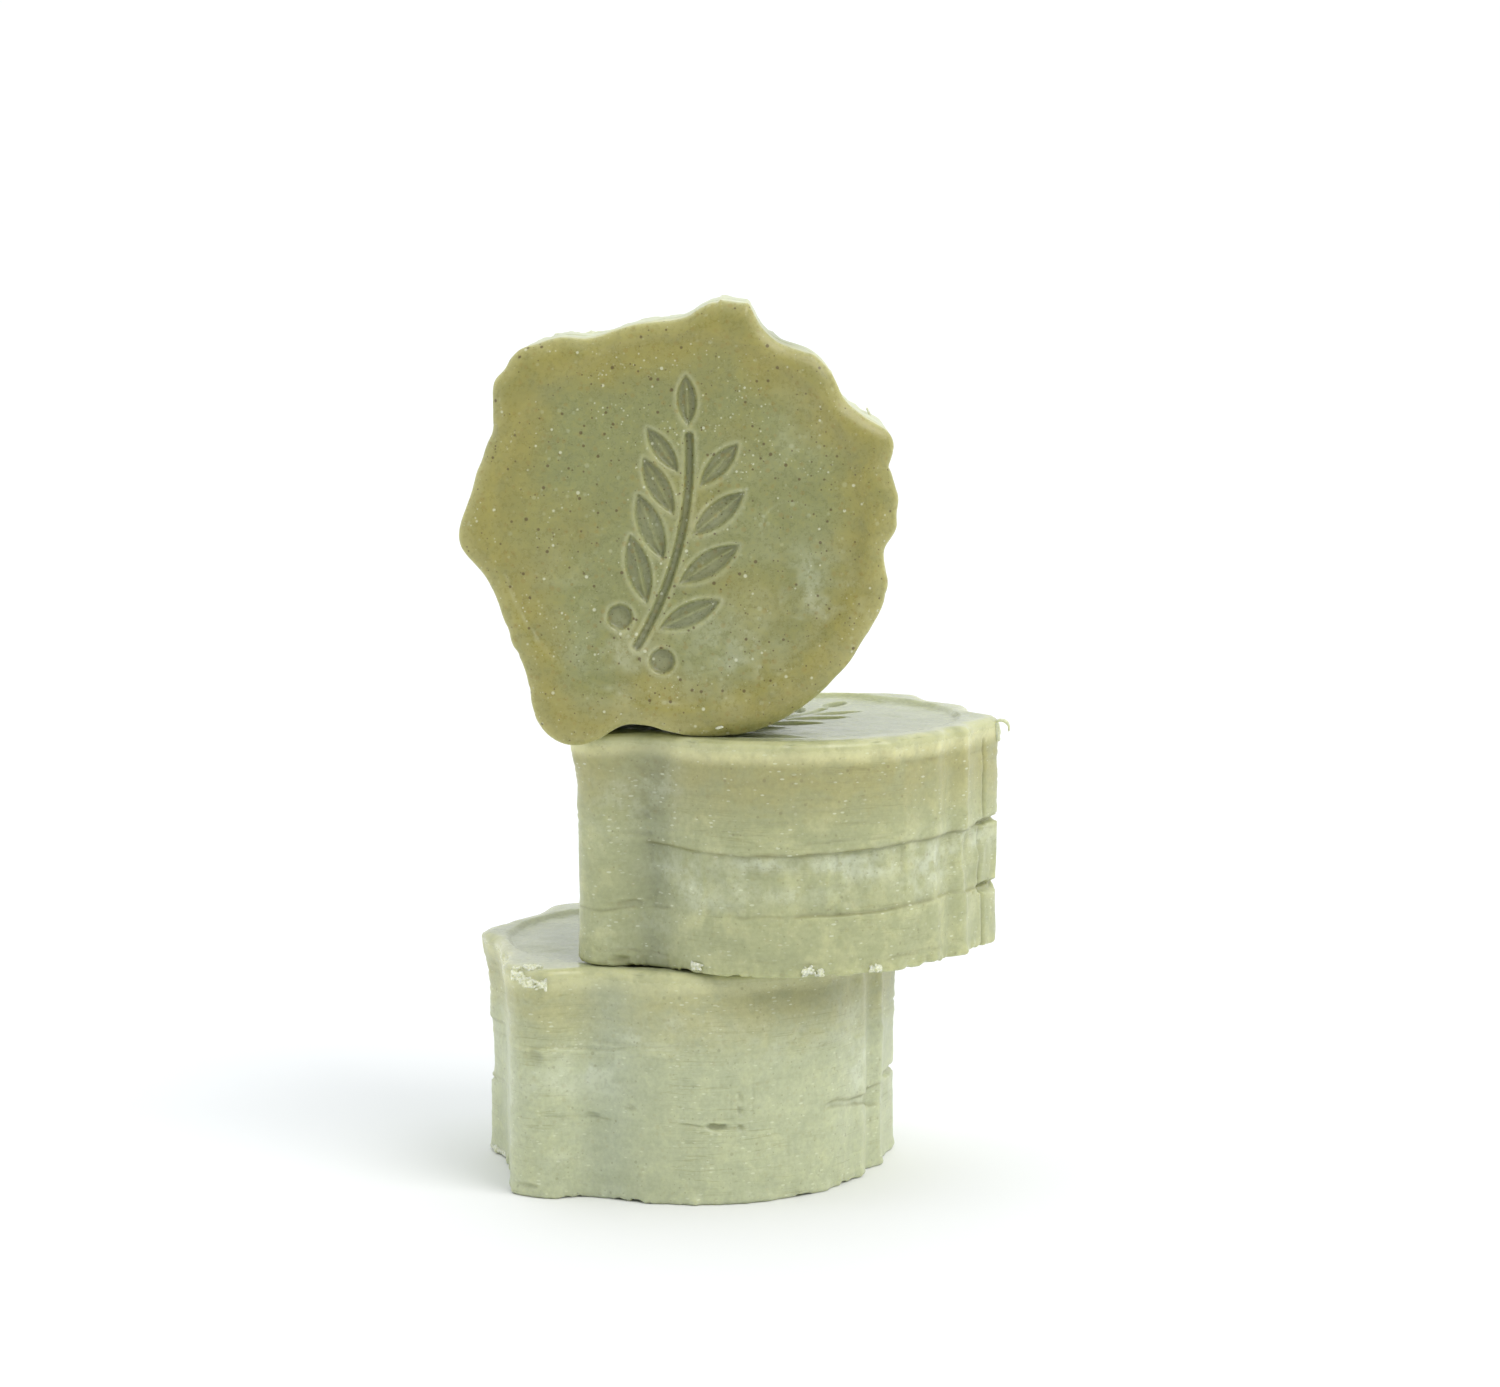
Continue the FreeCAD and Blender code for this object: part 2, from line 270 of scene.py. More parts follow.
class Puck:
    """A puck's place. Its own x and y lie in its face, its own z runs from its back to the stamped face."""

    def __init__(self, body, turn, standing, seed, wall, rim, density):
        self.name = body + "_puck"
        self.body = body
        self.seed = seed
        self.standing = standing
        self.wall = wall
        self.rim_width, self.rim_drop = rim
        self.cells, self.wall_rows = density
        low, high = (np.array(corner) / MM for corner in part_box(self.name))
        points = node_points(self.name)
        depth_axis = 1 if standing else 2
        self.thickness = high[depth_axis] - low[depth_axis]
        floor_level = low[1] + DISC_DEPTH if standing else high[2] - DISC_DEPTH
        disc = points[np.abs(points[:, depth_axis] - floor_level) < 0.01]
        if standing:
            across, up = disc_centre(disc[:, [0, 2]])
            turned = Matrix.Rotation(math.radians(90), 4, "X")
            self.place = Matrix.Translation((across, high[1], up)) @ turned
        else:
            across, along = disc_centre(disc[:, :2])
            turned = Matrix.Rotation(math.radians(turn), 4, "Z")
            self.place = Matrix.Translation((across, along, low[2])) @ turned
        self.read_outline(points)

    def read_outline(self, points):
        """The side wall's radius by direction, from the line where the CAD solid's wall meets its rim."""
        own = self.to_own(points)
        reach = np.hypot(own[:, 0], own[:, 1])
        below = self.thickness - own[:, 2]
        wall = (below > RIM_LINE[0]) & (below < RIM_LINE[1]) & (reach > DISC_RADIUS + 1)
        angle = np.degrees(np.arctan2(own[wall, 1], own[wall, 0])) % 360
        order = np.argsort(angle)
        self.wall_angle = angle[order]
        self.wall_reach = reach[wall][order]
        for direction, width, amount in self.wall.get("swells", []):
            self.wall_reach += amount * facing(self.wall_angle, direction, width)
        if self.standing:
            self.flatten_nub()

    def flatten_nub(self):
        """Give the top nub the flat top and steep flanks of a torn-off sprue."""
        angle = np.arange(0, 360, 0.25)
        reach = self.outline(angle)
        x, y = polar(reach, angle)
        self.nub_x, self.nub_y = x[y.argmax()], y.max() - NUB_DROP
        sideways = x - self.nub_x
        near = (np.abs(sideways) < NUB_REACH) & (y > 0)
        flat = self.nub_y - NUB_SLOPE * sideways
        flank = flat - NUB_FLANK * np.clip(np.abs(sideways) - NUB_HALF, 0, None)
        raised = np.minimum(np.maximum(y, flank), flat)
        self.wall_angle = angle
        self.wall_reach = np.where(near, raised / np.where(near, np.sin(np.radians(angle)), 1), reach)

    def outline(self, angle):
        return np.interp(angle % 360, self.wall_angle, self.wall_reach, period=360)

    def to_own(self, points):
        inverse = np.array(self.place.inverted())
        return points @ inverse[:3, :3].T + inverse[:3, 3]

    def to_frame(self, points):
        """Own millimetres to frame metres."""
        forward = np.array(self.place)
        return (points @ forward[:3, :3].T + forward[:3, 3]) * MM


# ------------ what marks each puck's side wall
#
# Directions are in degrees in the puck's own frame, heights in mm above its back face, depths in mm.
# swells: (direction, width in degrees, mm) by which the outline stands out from the CAD solid's
# dense: heights where the mesh's rows are closer together
# grain: the lowest and highest height of the streaked part
# ledges: bands set back between a sharp upper line and a foot, given as (direction, height), with a depth
#     and how sharp the foot is, from 0 to 1; a fading band has no upper line
# cracks: (start, end, height at the start, height at the end, depth, half height)
# dents: (direction, height, half width, half height, depth)
# scratches: up the wall, as (direction, low, high, depth)
# films: milky patches, as (direction, height, spread in degrees, rise in mm, strength)
# hollows: greyer, darker stretches between two lobes, partly the soap's tone and partly painted shade, as
# (direction, spread in degrees)
# painted shade patches: darker patches above a height, under the puck resting above, as (direction, spread
# in degrees, height, strength)

MIDDLE_WALL = {
    "dense": [19.2, 9.5, 0.8],
    "grain": (20, 33),
    "ledges": [
        {
            "line": [
                (252, 19.3), (262, 18.9), (272, 18.7), (285, 18.4), (297, 18.5), (309, 18.9), (330, 19.4),
                (346, 19.6), (362, 19.4), (380, 19.8),
            ],
            "foot": [(252, 9), (284, 9), (300, 9.3), (326, 9.5), (348, 10.2), (366, 9.5), (380, 9.4)],
            "depth": [
                (253, 0.0), (256, 0.42), (272, 0.36), (274, 0.12), (277, 0.5), (292, 0.42), (306, 0.42),
                (308, 0.3), (310.5, 0.72), (318, 0.66), (329, 0.5), (332, 0.36), (344, 0.4), (356, 0.55),
                (366, 0.6), (380, 0.4),
            ],
            "sharp": [
                (253, 0.0), (282, 0.1), (285, 0.8), (298, 0.35), (300, 1.0), (341, 1.0), (343, 0.2),
                (347, 0.8), (354, 0.8), (357, 0.3), (366, 0.8), (380, 0.9),
            ],
        },
        {
            "line": [(40, 21), (100, 20.2), (160, 19.4), (215, 20.4)],
            "foot": [(40, 11), (120, 11.8), (215, 10.6)],
            "depth": [(44, 0.0), (60, 0.4), (100, 0.55), (104, 0.25), (150, 0.5), (190, 0.4), (208, 0.0)],
            "sharp": [(44, 0.4), (90, 0.9), (150, 0.5), (208, 0.8)],
        },
    ],
    "cracks": [
        (227, 262, 8, 9.2, 0.2, 0.22), (298, 345, 30.9, 31.9, 0.12, 0.2), (345, 377, 31.6, 31.2, 0.1, 0.18),
        (299, 326, 27, 27.1, 0.1, 0.18), (304, 329, 23, 23.5, 0.1, 0.18),
        (300, 331, 20.3, 21.1, 0.12, 0.16), (342, 358, 22.4, 23.6, 0.12, 0.18),
        (310, 345, 2, 2.1, 0.16, 0.22), (275, 320, 3.1, 1.3, 0.1, 0.2), (244, 262, 2.6, 1.7, 0.14, 0.24),
        (120, 200, 25, 26, 0.12, 0.2),
    ],
    "dents": [
        (253.3, 23.4, 0.95, 0.75, 0.4), (252, 25.6, 0.8, 0.35, 0.2), (256.5, 27, 0.9, 0.3, 0.15),
        (253, 20.6, 1.7, 0.4, 0.35), (250.4, 9.7, 1.7, 0.55, 0.5), (247, 19.4, 1.0, 0.6, 0.25),
        (249.5, 0.8, 0.8, 1.0, 0.7), (255.5, 17, 0.25, 1.6, 0.25), (294, 23.4, 2.6, 0.5, 0.1),
        (291, 16, 2.6, 1.0, 0.2), (17.5, 19.8, 4, 0.6, 1.1), (17.5, 9.2, 4, 0.7, 1.1),
        (16, 29.4, 3, 0.3, 0.25), (100, 26, 1.2, 0.7, 0.4), (160, 6, 1.6, 0.5, 0.4),
    ],
    "scratches": [(330.8, 14.5, 19, 0.14), (336.5, 12, 16, 0.1), (12, 0, 33, 0.6)],
    "films": [
        (262, 16.5, 8, 2.4, 0.35), (281, 14, 8, 4, 0.55), (268, 14.5, 8, 3.4, 0.8), (276, 11, 8, 2, 0.6),
        (291, 17.4, 13, 1.2, 0.9), (303, 17, 6, 1.2, 0.8), (319, 16.8, 9, 2.2, 1.8), (334, 12, 5, 2, 0.6),
        (346, 16.2, 13, 3.6, 1.7), (372, 17, 10, 3, 0.9), (250, 24.5, 8, 5, 0.55), (262, 29, 6, 5, 0.5),
        (258, 5, 12, 3, 0.5), (300, 12.5, 14, 1.4, 0.5), (215, 9, 30, 2, 0.5), (110, 16, 40, 5, 0.8),
    ],
    "hollows": [(257, 7)],
    # painted shade on the upper wall, under the puck above
    "shade_patches": [(300, 30, 26, 0.06)],
}

BOTTOM_WALL = {
    "dense": [23.6, 12.8, 0.8],
    "grain": (19, 33),
    "ledges": [
        {
            "line": [(238, 30.6), (262, 30.2), (300, 30)],
            "foot": [
                (238, 23.4), (248, 23.6), (256, 22.9), (262, 23.3), (271, 24.1), (288, 24.5), (300, 24.4),
            ],
            "depth": [(240, 0.0), (243.5, 0.5), (258, 0.3), (272, 0.24), (286, 0.2), (296, 0.0)],
            "sharp": [(240, 1.0), (300, 1.0)],
            "fading": True,
        },
        {
            "line": [(320, 13.4), (330, 14), (337, 13.2), (344, 13), (350, 13), (356, 13.3), (390, 12.6)],
            "foot": [
                (320, 12.9), (330, 12.9), (337, 12.3), (345, 11.6), (352, 10.4), (358, 9.9), (390, 9.4),
            ],
            "depth": [
                (322, 0.0), (327, 0.3), (334, 0.2), (343, 0.5), (351, 0.6), (354, 0.3), (358, 0.1),
                (390, 0.0),
            ],
            "sharp": [(320, 0.7), (352, 1.0), (390, 1.0)],
        },
        {
            "line": [(30, 21.6), (90, 22.4), (150, 21.4), (215, 22)],
            "foot": [(30, 12.4), (120, 13.2), (215, 12.2)],
            "depth": [(40, 0.0), (55, 0.45), (96, 0.5), (99, 0.25), (150, 0.45), (186, 0.35), (205, 0.0)],
            "sharp": [(40, 0.8), (90, 0.4), (150, 0.9), (215, 0.8)],
        },
    ],
    "cracks": [
        (246, 262, 13, 12.6, 0.1, 0.2), (281, 288, 12.6, 12.3, 0.16, 0.16),
        (298, 325, 18.3, 19.8, 0.07, 0.3), (238, 262, 6, 6.2, 0.08, 0.2), (186, 200, 20.2, 19.8, 0.2, 0.25),
    ],
    "dents": [
        (256, 13, 1.2, 0.35, 0.25), (268, 14.6, 1.0, 0.5, 0.35), (291.3, 12.1, 1.4, 0.5, 0.8),
        (298, 16.8, 0.35, 0.8, 0.4), (298, 14.6, 0.45, 0.7, 0.5), (298, 11.9, 0.4, 0.5, 0.4),
        (244, 22, 1.1, 1.5, 0.4), (19, 13.4, 4.6, 0.7, 1.0), (19, 24.5, 3, 0.35, 0.25),
        (192, 30, 2, 0.5, 0.3), (186, 12, 3, 0.4, 0.4), (241.5, 1.8, 1.6, 0.5, 0.35),
        (130, 18, 1.4, 0.7, 0.4), (303.5, 7.6, 0.7, 0.25, 0.2), (283, 19.4, 0.5, 0.4, 0.2),
    ],
    "scratches": [(301.5, 13.5, 20, 0.12), (295.5, 12, 19.5, 0.1), (312, 4, 9, 0.08)],
    "films": [
        (342, 18.5, 6, 5, 1.5), (338, 26, 10, 5, 0.7), (252, 19, 10, 3.2, 1.1), (262, 20, 8, 3, 0.8),
        (282, 27, 9, 2.4, 0.9), (270, 25.5, 9, 1.4, 0.8), (308, 25, 16, 3, 0.6), (232, 16, 6, 14, 1.0),
        (250, 7, 8, 5, 0.4), (205, 20, 25, 14, 0.5), (60, 18, 40, 8, 0.8),
    ],
    "hollows": [(262, 8)],
    # painted shade on the upper wall, under the middle puck's overhang
    "shade_patches": [(316, 18, 29, 0.4)],
}

UPRIGHT_WALL = {
    "swells": [
        (-22.5, 6, 0.9), (5.5, 4.6, 1.3), (14.5, 3, -0.95), (31, 4, 0.45), (72.5, 2.5, 0.4), (83, 2.5, 0.6),
        (122.5, 4.5, 0.95), (138.5, 3, -0.8), (185, 5, 0.5),
    ],
    "dense": [20.5, 11, 33],
    "grain": (4, 33),
    "ledges": [
        {
            "line": [(36, 20.4), (90, 21), (156, 20.2)],
            "foot": [(36, 11), (156, 11.2)],
            "depth": [(40, 0.0), (52, 0.4), (84, 0.45), (86, 0.2), (120, 0.5), (150, 0.0)],
            "sharp": [(36, 0.8), (90, 0.4), (156, 0.9)],
        },
        {
            "line": [(296, 24), (352, 23.6)],
            "foot": [(296, 15.4), (352, 15.8)],
            "depth": [(300, 0.0), (308, 0.45), (324, 0.25), (340, 0.5), (350, 0.0)],
            "sharp": [(296, 0.9), (352, 0.6)],
        },
        {
            "line": [(182, 19.2), (236, 18.8)],
            "foot": [(182, 10.2), (236, 10)],
            "depth": [(186, 0.0), (195, 0.4), (226, 0.4), (234, 0.0)],
            "sharp": [(182, 0.9), (236, 0.7)],
        },
    ],
    "cracks": [
        (156, 182, 25.2, 25, 0.15, 0.25), (60, 120, 27, 27.6, 0.1, 0.2), (300, 350, 29, 28.4, 0.1, 0.2),
    ],
    "dents": [
        (22, 21, 6, 0.6, 0.9), (22, 9.5, 6, 0.6, 0.8), (76, 25, 4, 0.5, 0.5), (138, 28, 3, 0.5, 0.4),
        (100, 14, 1.6, 0.6, 0.5), (318, 19, 1.4, 0.6, 0.5), (212, 14, 1.0, 0.7, 0.4),
    ],
    "scratches": [(90, 14, 19, 0.2), (330, 17, 22, 0.2), (206, 4, 12, 0.1)],
    "films": [(95, 16, 30, 5, 0.8), (325, 20, 20, 5, 0.8), (210, 14, 18, 6, 0.7), (20, 18, 16, 9, 0.5)],
    "hollows": [(60, 8), (205, 10)],
}


# ------------ relief


def along_line(line, angle):
    """The height of a line of (direction, height) points at each direction, and 1 inside its span."""
    turns, heights = np.array(line, float).T
    unrolled = (angle - turns[0] + 10) % 360 + turns[0] - 10
    return np.interp(unrolled, turns, heights), between(turns[0], turns[-1], 1, unrolled)


class WallPoints:
    """Points on a side wall, by direction (degrees), height and reach (mm), with the puck's noise."""

    def __init__(self, noise, angle, height, reach):
        self.noise, self.angle, self.height, self.reach = noise, angle, height, reach
        x, y = polar(reach, angle)
        self.around = stack(x, y, height)
        self.ribbon = stack(x, y, 0)

    def past(self, direction):
        """How far round the wall from a direction, in mm."""
        return self.reach * np.radians(turn_from(self.angle, direction))


def ledge_relief(at, ledge):
    """A band set back between a sharp upper line and a softer foot, and the painted shade under its edges.
    """
    waver = 0.07 * at.noise(at.ribbon, 3.0) + 0.05 * at.noise(at.ribbon, 0.9)
    top, span = along_line(ledge["line"], at.angle)
    foot, _ = along_line(ledge["foot"], at.angle)
    depth, _ = along_line(ledge["depth"], at.angle)
    share, _ = along_line(ledge["sharp"], at.angle)
    if ledge.get("fading"):
        upper = smooth(top + 0.5, foot + 1.0, at.height)
        edge = -0.6 * bump(at.height, foot + waver + 0.1, 0.26)
    else:
        upper = smooth(top + waver + 0.28, top + waver - 0.28, at.height)
        edge = bump(at.height, top + waver + 0.1, 0.3)
    sharp = smooth(foot + waver - 0.2, foot + waver + 0.25, at.height)
    soft = smooth(foot - 2.5, foot + 2.5, at.height)
    lower = share * sharp + (1 - share) * soft
    lower_edge = share * bump(at.height, foot + waver + 0.1, 0.26)
    depth = np.clip(depth, 0, None) * span
    dips = 1 + 0.35 * at.noise(at.around, 2.4)
    shade = np.clip(2.4 * depth, 0, 0.9) * np.clip(edge + 0.8 * lower_edge, 0, 1)
    return 1.4 * depth * dips * upper * lower, shade


def crack_relief(at, start, end, first, last, depth, half):
    # a crack's depth, and painted shade along it
    share = np.clip(((at.angle - start) % 360) / ((end - start) % 360), 0, 1)
    line = first + (last - first) * share + 0.2 * at.noise(at.ribbon, 4.0) + 0.07 * at.noise(at.ribbon, 1.2)
    strength = np.clip(0.6 + 0.6 * at.noise(at.around * [1, 1, 0.2], 3.0), 0.05, 1)
    crack = strength * bump(at.height, line, half) * window(at.angle, start, end, 2)
    return 1.4 * depth * crack, np.clip(2.8 * depth, 0, 0.5) * crack


def dent_relief(at, direction, level, half_width, half_height, depth):
    # a dent's depth, and painted shade in its upper part, under its upper edge
    rise = (at.height - level) / half_height
    away = np.hypot(at.past(direction) / half_width, rise)
    dent = smooth(1.45, 0.55, away + 0.25 * at.noise(at.around, 0.9))
    return depth * dent, np.clip(0.8 * depth, 0, 0.55) * dent * smooth(-1.2, 0.4, rise)


def scratch_relief(at, direction, low, high, depth):
    # a scratch's depth, and painted shade along it
    line = bump(at.past(direction + 0.25 * at.noise(at.around, 5.0)), 0, 0.24)
    scratch = line * between(low, high, 0.5, at.height)
    return depth * scratch, 1.2 * depth * scratch


def shade_patch_relief(at, direction, spread, low, strength):
    # painted shade: darker above a height, under the puck resting above; it sets nothing in
    painted_shade = facing(at.angle, direction, spread) * smooth(low - 4, low + 4, at.height)
    return 0.0, strength * painted_shade


RELIEFS = {
    "cracks": crack_relief,
    "dents": dent_relief,
    "scratches": scratch_relief,
    "shade_patches": shade_patch_relief,
}


def wall_skin(puck, at):
    """How far the cut wall wanders in from its outline (mm), before any mark."""
    thickness, height = puck.thickness, at.height
    inside = smooth(0.6, 2.2, height) * smooth(thickness - 1.2, thickness - 3.5, height)
    left = window(at.angle, 165, 255, 15)
    inset = (0.05 + 1.15 * left) * smooth(thickness - 1.0, thickness - 9.0, height)
    inset += 0.1 * smooth(thickness, 0, height)
    inset += 0.14 * (at.noise(at.around, 9.0) + 0.3) * inside
    inset += 0.05 * at.noise(at.around, 2.6) * inside
    low, high = puck.wall["grain"]
    grained = smooth(low - 1, low + 1, height) * smooth(high + 1.5, high - 1.5, height)
    along = stack(at.reach * np.radians(at.angle), height, 0)
    stripe = at.noise(along / [16.0, 0.7, 1.0], 1.0) + 0.6 * at.noise(along / [7.0, 0.36, 1.0], 1.0)
    return inset + 0.05 * stripe * (0.3 + 0.7 * grained) * inside


def wall_relief(puck, at):
    """How far the side wall is set in (mm), with the film, the painted shade in its cracks, dents and
    scratches, under its ledges and under the puck above, and its hollows.
    """
    wall = puck.wall
    inset = wall_skin(puck, at)
    shade = np.zeros(at.height.shape)
    marks = [ledge_relief(at, ledge) for ledge in wall["ledges"]]
    for kind, relief in RELIEFS.items():
        marks += [relief(at, *mark) for mark in wall.get(kind, [])]
    for depth, dark in marks:
        inset += depth
        shade = np.maximum(shade, dark)

    film = np.zeros(at.height.shape)
    for direction, level, spread, rise, strength in wall["films"]:
        film += strength * facing(at.angle, direction, spread) * bump(at.height, level, rise)
    patchy = 0.6 + 0.5 * at.noise(at.around * [1, 1, 1.4], 3.0) + 0.35 * at.noise(at.around, 1.1)
    film = np.clip(0.9 * film * np.clip(patchy, 0.1, 1.3), 0, 1)
    hollow = np.zeros(at.height.shape)
    for direction, spread in wall["hollows"]:
        hollow = np.maximum(hollow, facing(at.angle, direction, spread))
    return inset, film, shade, hollow


def face_relief(puck, noise, x, y, reach):
    """Height of the stamped face above the rim's level (mm), with the stamp and the pale lines."""
    radius = np.hypot(x, y)
    flat = stack(x, y, puck.seed * 7.0)
    wobble = 0.25 * noise(flat, 8.0)
    soft = 1.0 if puck.standing else 0.35
    disc = smooth(DISC_RADIUS + soft, DISC_RADIUS - soft, radius + wobble)
    pressed, welt = sprig_depth(x, y)
    patchy = np.clip(0.5 + noise(flat, 5.0), 0, 1)
    line = bump(radius + wobble, DISC_RADIUS - 0.5, 0.16) * patchy * smooth(-2, -12, y)
    for ring_x, ring_y, ring_radius in FAINT_RINGS:
        line = np.maximum(line, 0.6 * patchy * bump(np.hypot(x - ring_x, y - ring_y), ring_radius, 0.16))
    height = -DISC_DEPTH * disc - GROOVE_DEPTH * pressed + 0.05 * welt * disc + 0.03 * line
    height += 0.10 * noise(flat, 9.0) * smooth(0.2, 2, reach - radius) - 0.14
    height += 0.028 * noise(flat, 2.2) * (1 - 0.6 * pressed) + 0.012 * noise(flat, 0.9)
    rim = np.clip(1 - (reach - radius) / puck.rim_width, 0, 1)
    height -= puck.rim_drop * (1 - np.sqrt(1 - rim**2))
    return height, pressed, np.maximum(0.7 * welt, line)


def face_film(puck, noise, x, y):
    """The milky film left on the stamped face of the upright puck, from 0 to 1."""
    film = np.zeros(x.shape)
    if not puck.standing:
        return film
    flat = stack(x, y, puck.seed * 3.0)
    patchy = np.clip(0.55 + 0.5 * noise(flat, 4.0) + 0.35 * noise(flat, 1.3), 0, 1.2)
    for film_x, film_y, spread, strength in FACE_FILMS:
        film += strength * bump(np.hypot(x - film_x, y - film_y), 0, spread)
    return np.clip(film * patchy, 0, 1) * FILM_STRENGTH


# ------------ the puck's mesh


def square_to_disc(cells):
    """A square grid bent to a unit disc: its ring points are evenly spaced, from -45 degrees on."""
    line = np.linspace(-1, 1, cells + 1)
    a, b = np.meshgrid(line, line, indexing="ij")
    wide = np.abs(a) > np.abs(b)
    with np.errstate(divide="ignore", invalid="ignore"):
        angle = np.where(wide, math.pi / 4 * b / a, math.pi / 2 - math.pi / 4 * a / b)
    angle = np.nan_to_num(angle)
    radius = np.where(wide, a, b)
    return radius * np.cos(angle), radius * np.sin(angle)


def grid_index(cells, first):
    return first + np.arange((cells + 1) ** 2).reshape(cells + 1, cells + 1)


def grid_rim(cells, first):
    """Indices of a square grid's border, counter-clockwise from the -45 degree corner."""
    index = grid_index(cells, first)
    return np.concatenate([index[-1, :-1], index[:0:-1, -1], index[0, :0:-1], index[:-1, 0]])


def grid_faces(cells, first, flip):
    index = grid_index(cells, first)
    quads = stack(index[:-1, :-1], index[1:, :-1], index[1:, 1:], index[:-1, 1:]).reshape(-1, 4)
    return quads[:, ::-1] if flip else quads


def ring_faces(upper, lower):
    """Quads between two rings of the same count, upper the inner or higher one."""
    return stack(upper, lower, np.roll(lower, -1), np.roll(upper, -1))


def halving_faces(outer, inner):
    """Triangles between a ring and one of half its points."""
    start, middle, end = outer[0::2], outer[1::2], np.roll(outer[0::2], -1)
    after = np.roll(inner, -1)
    corners = ((start, inner, middle), (inner, after, middle), (middle, after, end))
    return np.concatenate([stack(*three) for three in corners])


def wall_heights(puck):
    """Row heights down the side wall, closer together where the marks are."""
    top, foot = puck.thickness - puck.rim_drop, FOOT_ROUND
    fine = np.linspace(top, foot, 800)
    density = 1 + sum(2.2 * bump(fine, level, 1.3) for level in puck.wall["dense"])
    total = np.concatenate([[0], np.cumsum((density[1:] + density[:-1]) / 2)])
    return np.interp(np.linspace(0, total[-1], puck.wall_rows + 1), total, fine)


def skin_rows(puck):
    """The rim, wall and foot as rows of (inset, height, share of the wall's relief)."""
    part = np.arange(1, RIM_ROWS) / RIM_ROWS
    lean = RIM_TURN + (math.pi / 2 - RIM_TURN) * part
    drop = puck.rim_drop * (1 - np.cos(lean))
    rim = stack(puck.rim_width * (1 - np.sin(lean)), puck.thickness - drop, part**2)
    lean = math.pi / 2 * np.arange(1, FOOT_ROWS + 1) / FOOT_ROWS
    foot = stack(FOOT_ROUND * (1 - np.cos(lean)), FOOT_ROUND * (1 - np.sin(lean)), 1.0)
    return np.concatenate([rim, stack(0.0, wall_heights(puck), 1.0), foot])


# what each point of a puck tells its material, all 0 where it is left out
MARK_NAMES = ["face", "pressed", "welt", "film", "shade", "hollow", "depth", "level"]


class Skin:
    """A closed mesh in the making, one patch at a time."""

    def __init__(self):
        self.points, self.faces, self.count = [], [], 0
        self.marks = {name: [] for name in MARK_NAMES}

    def add(self, x, y, z, **marks):
        """A patch of points, returning the first one's index."""
        first = self.count
        self.points.append(stack(x, y, z).reshape(-1, 3))
        for name in MARK_NAMES:
            self.marks[name].append(np.broadcast_to(marks.get(name, 0.0), x.shape).ravel())
        self.count += x.size
        return first

    def finished(self):
        points = np.concatenate(self.points)
        points[:, 2] = np.maximum(points[:, 2], 0)
        return points, self.faces, {name: np.concatenate(values) for name, values in self.marks.items()}


def add_face_patch(skin, puck, noise, x, y, edge):
    """A patch of the stamped face whose outline is at the given reach."""
    height, pressed, welt = face_relief(puck, noise, x, y, edge)
    marks = {"pressed": pressed, "welt": welt, "film": face_film(puck, noise, x, y)}
    depth = edge - np.hypot(x, y)
    return skin.add(x, y, puck.thickness + height, face=1.0, level=1.0, depth=depth, **marks), height


def add_face(skin, puck, noise, angle, reach):
    """The stamped face, returning its last ring and how far that stands above the rim's curve."""
    x, y = (CORE_RADIUS * unit for unit in square_to_disc(puck.cells))
    edge = puck.outline(np.degrees(np.arctan2(y, x)))
    first, _ = add_face_patch(skin, puck, noise, x, y, edge)
    skin.faces.append(grid_faces(puck.cells, first, False))
    previous = grid_rim(puck.cells, first)
    rim_start = reach - puck.rim_width * (1 - math.sin(RIM_TURN))
    for row in range(1, FACE_ROWS + 1):
        x, y = polar(CORE_RADIUS + (rim_start - CORE_RADIUS) * row / FACE_ROWS, angle)
        first, height = add_face_patch(skin, puck, noise, x, y, reach)
        ring = first + np.arange(len(angle))
        skin.faces.append(ring_faces(previous, ring))
        previous = ring
    return previous, height + puck.rim_drop * (1 - math.cos(RIM_TURN))


def settle(puck, x, y, level, film):
    """The upright puck pressed flat where it rests, slumped between its lobes and chipped on its nub."""
    pressed = smooth(REST_HEIGHT + 0.3, REST_HEIGHT - 0.3, level)
    y = y + pressed * (np.maximum(y, REST_LEVEL) - y)
    slumped = smooth(-29, -26, x) * smooth(-1, -4, x) * smooth(-20, -26, y) * smooth(24, 16, level)
    y = y + slumped * (REST_LEVEL - y)
    chip = smooth(NUB_HALF, NUB_HALF - 0.5, np.abs(x - puck.nub_x))
    chip = chip * smooth(puck.nub_y - 1.8, puck.nub_y - 0.9, y)
    return y, np.maximum(film, 1.6 * chip * smooth(puck.thickness - 3.4, puck.thickness - 2.4, level))


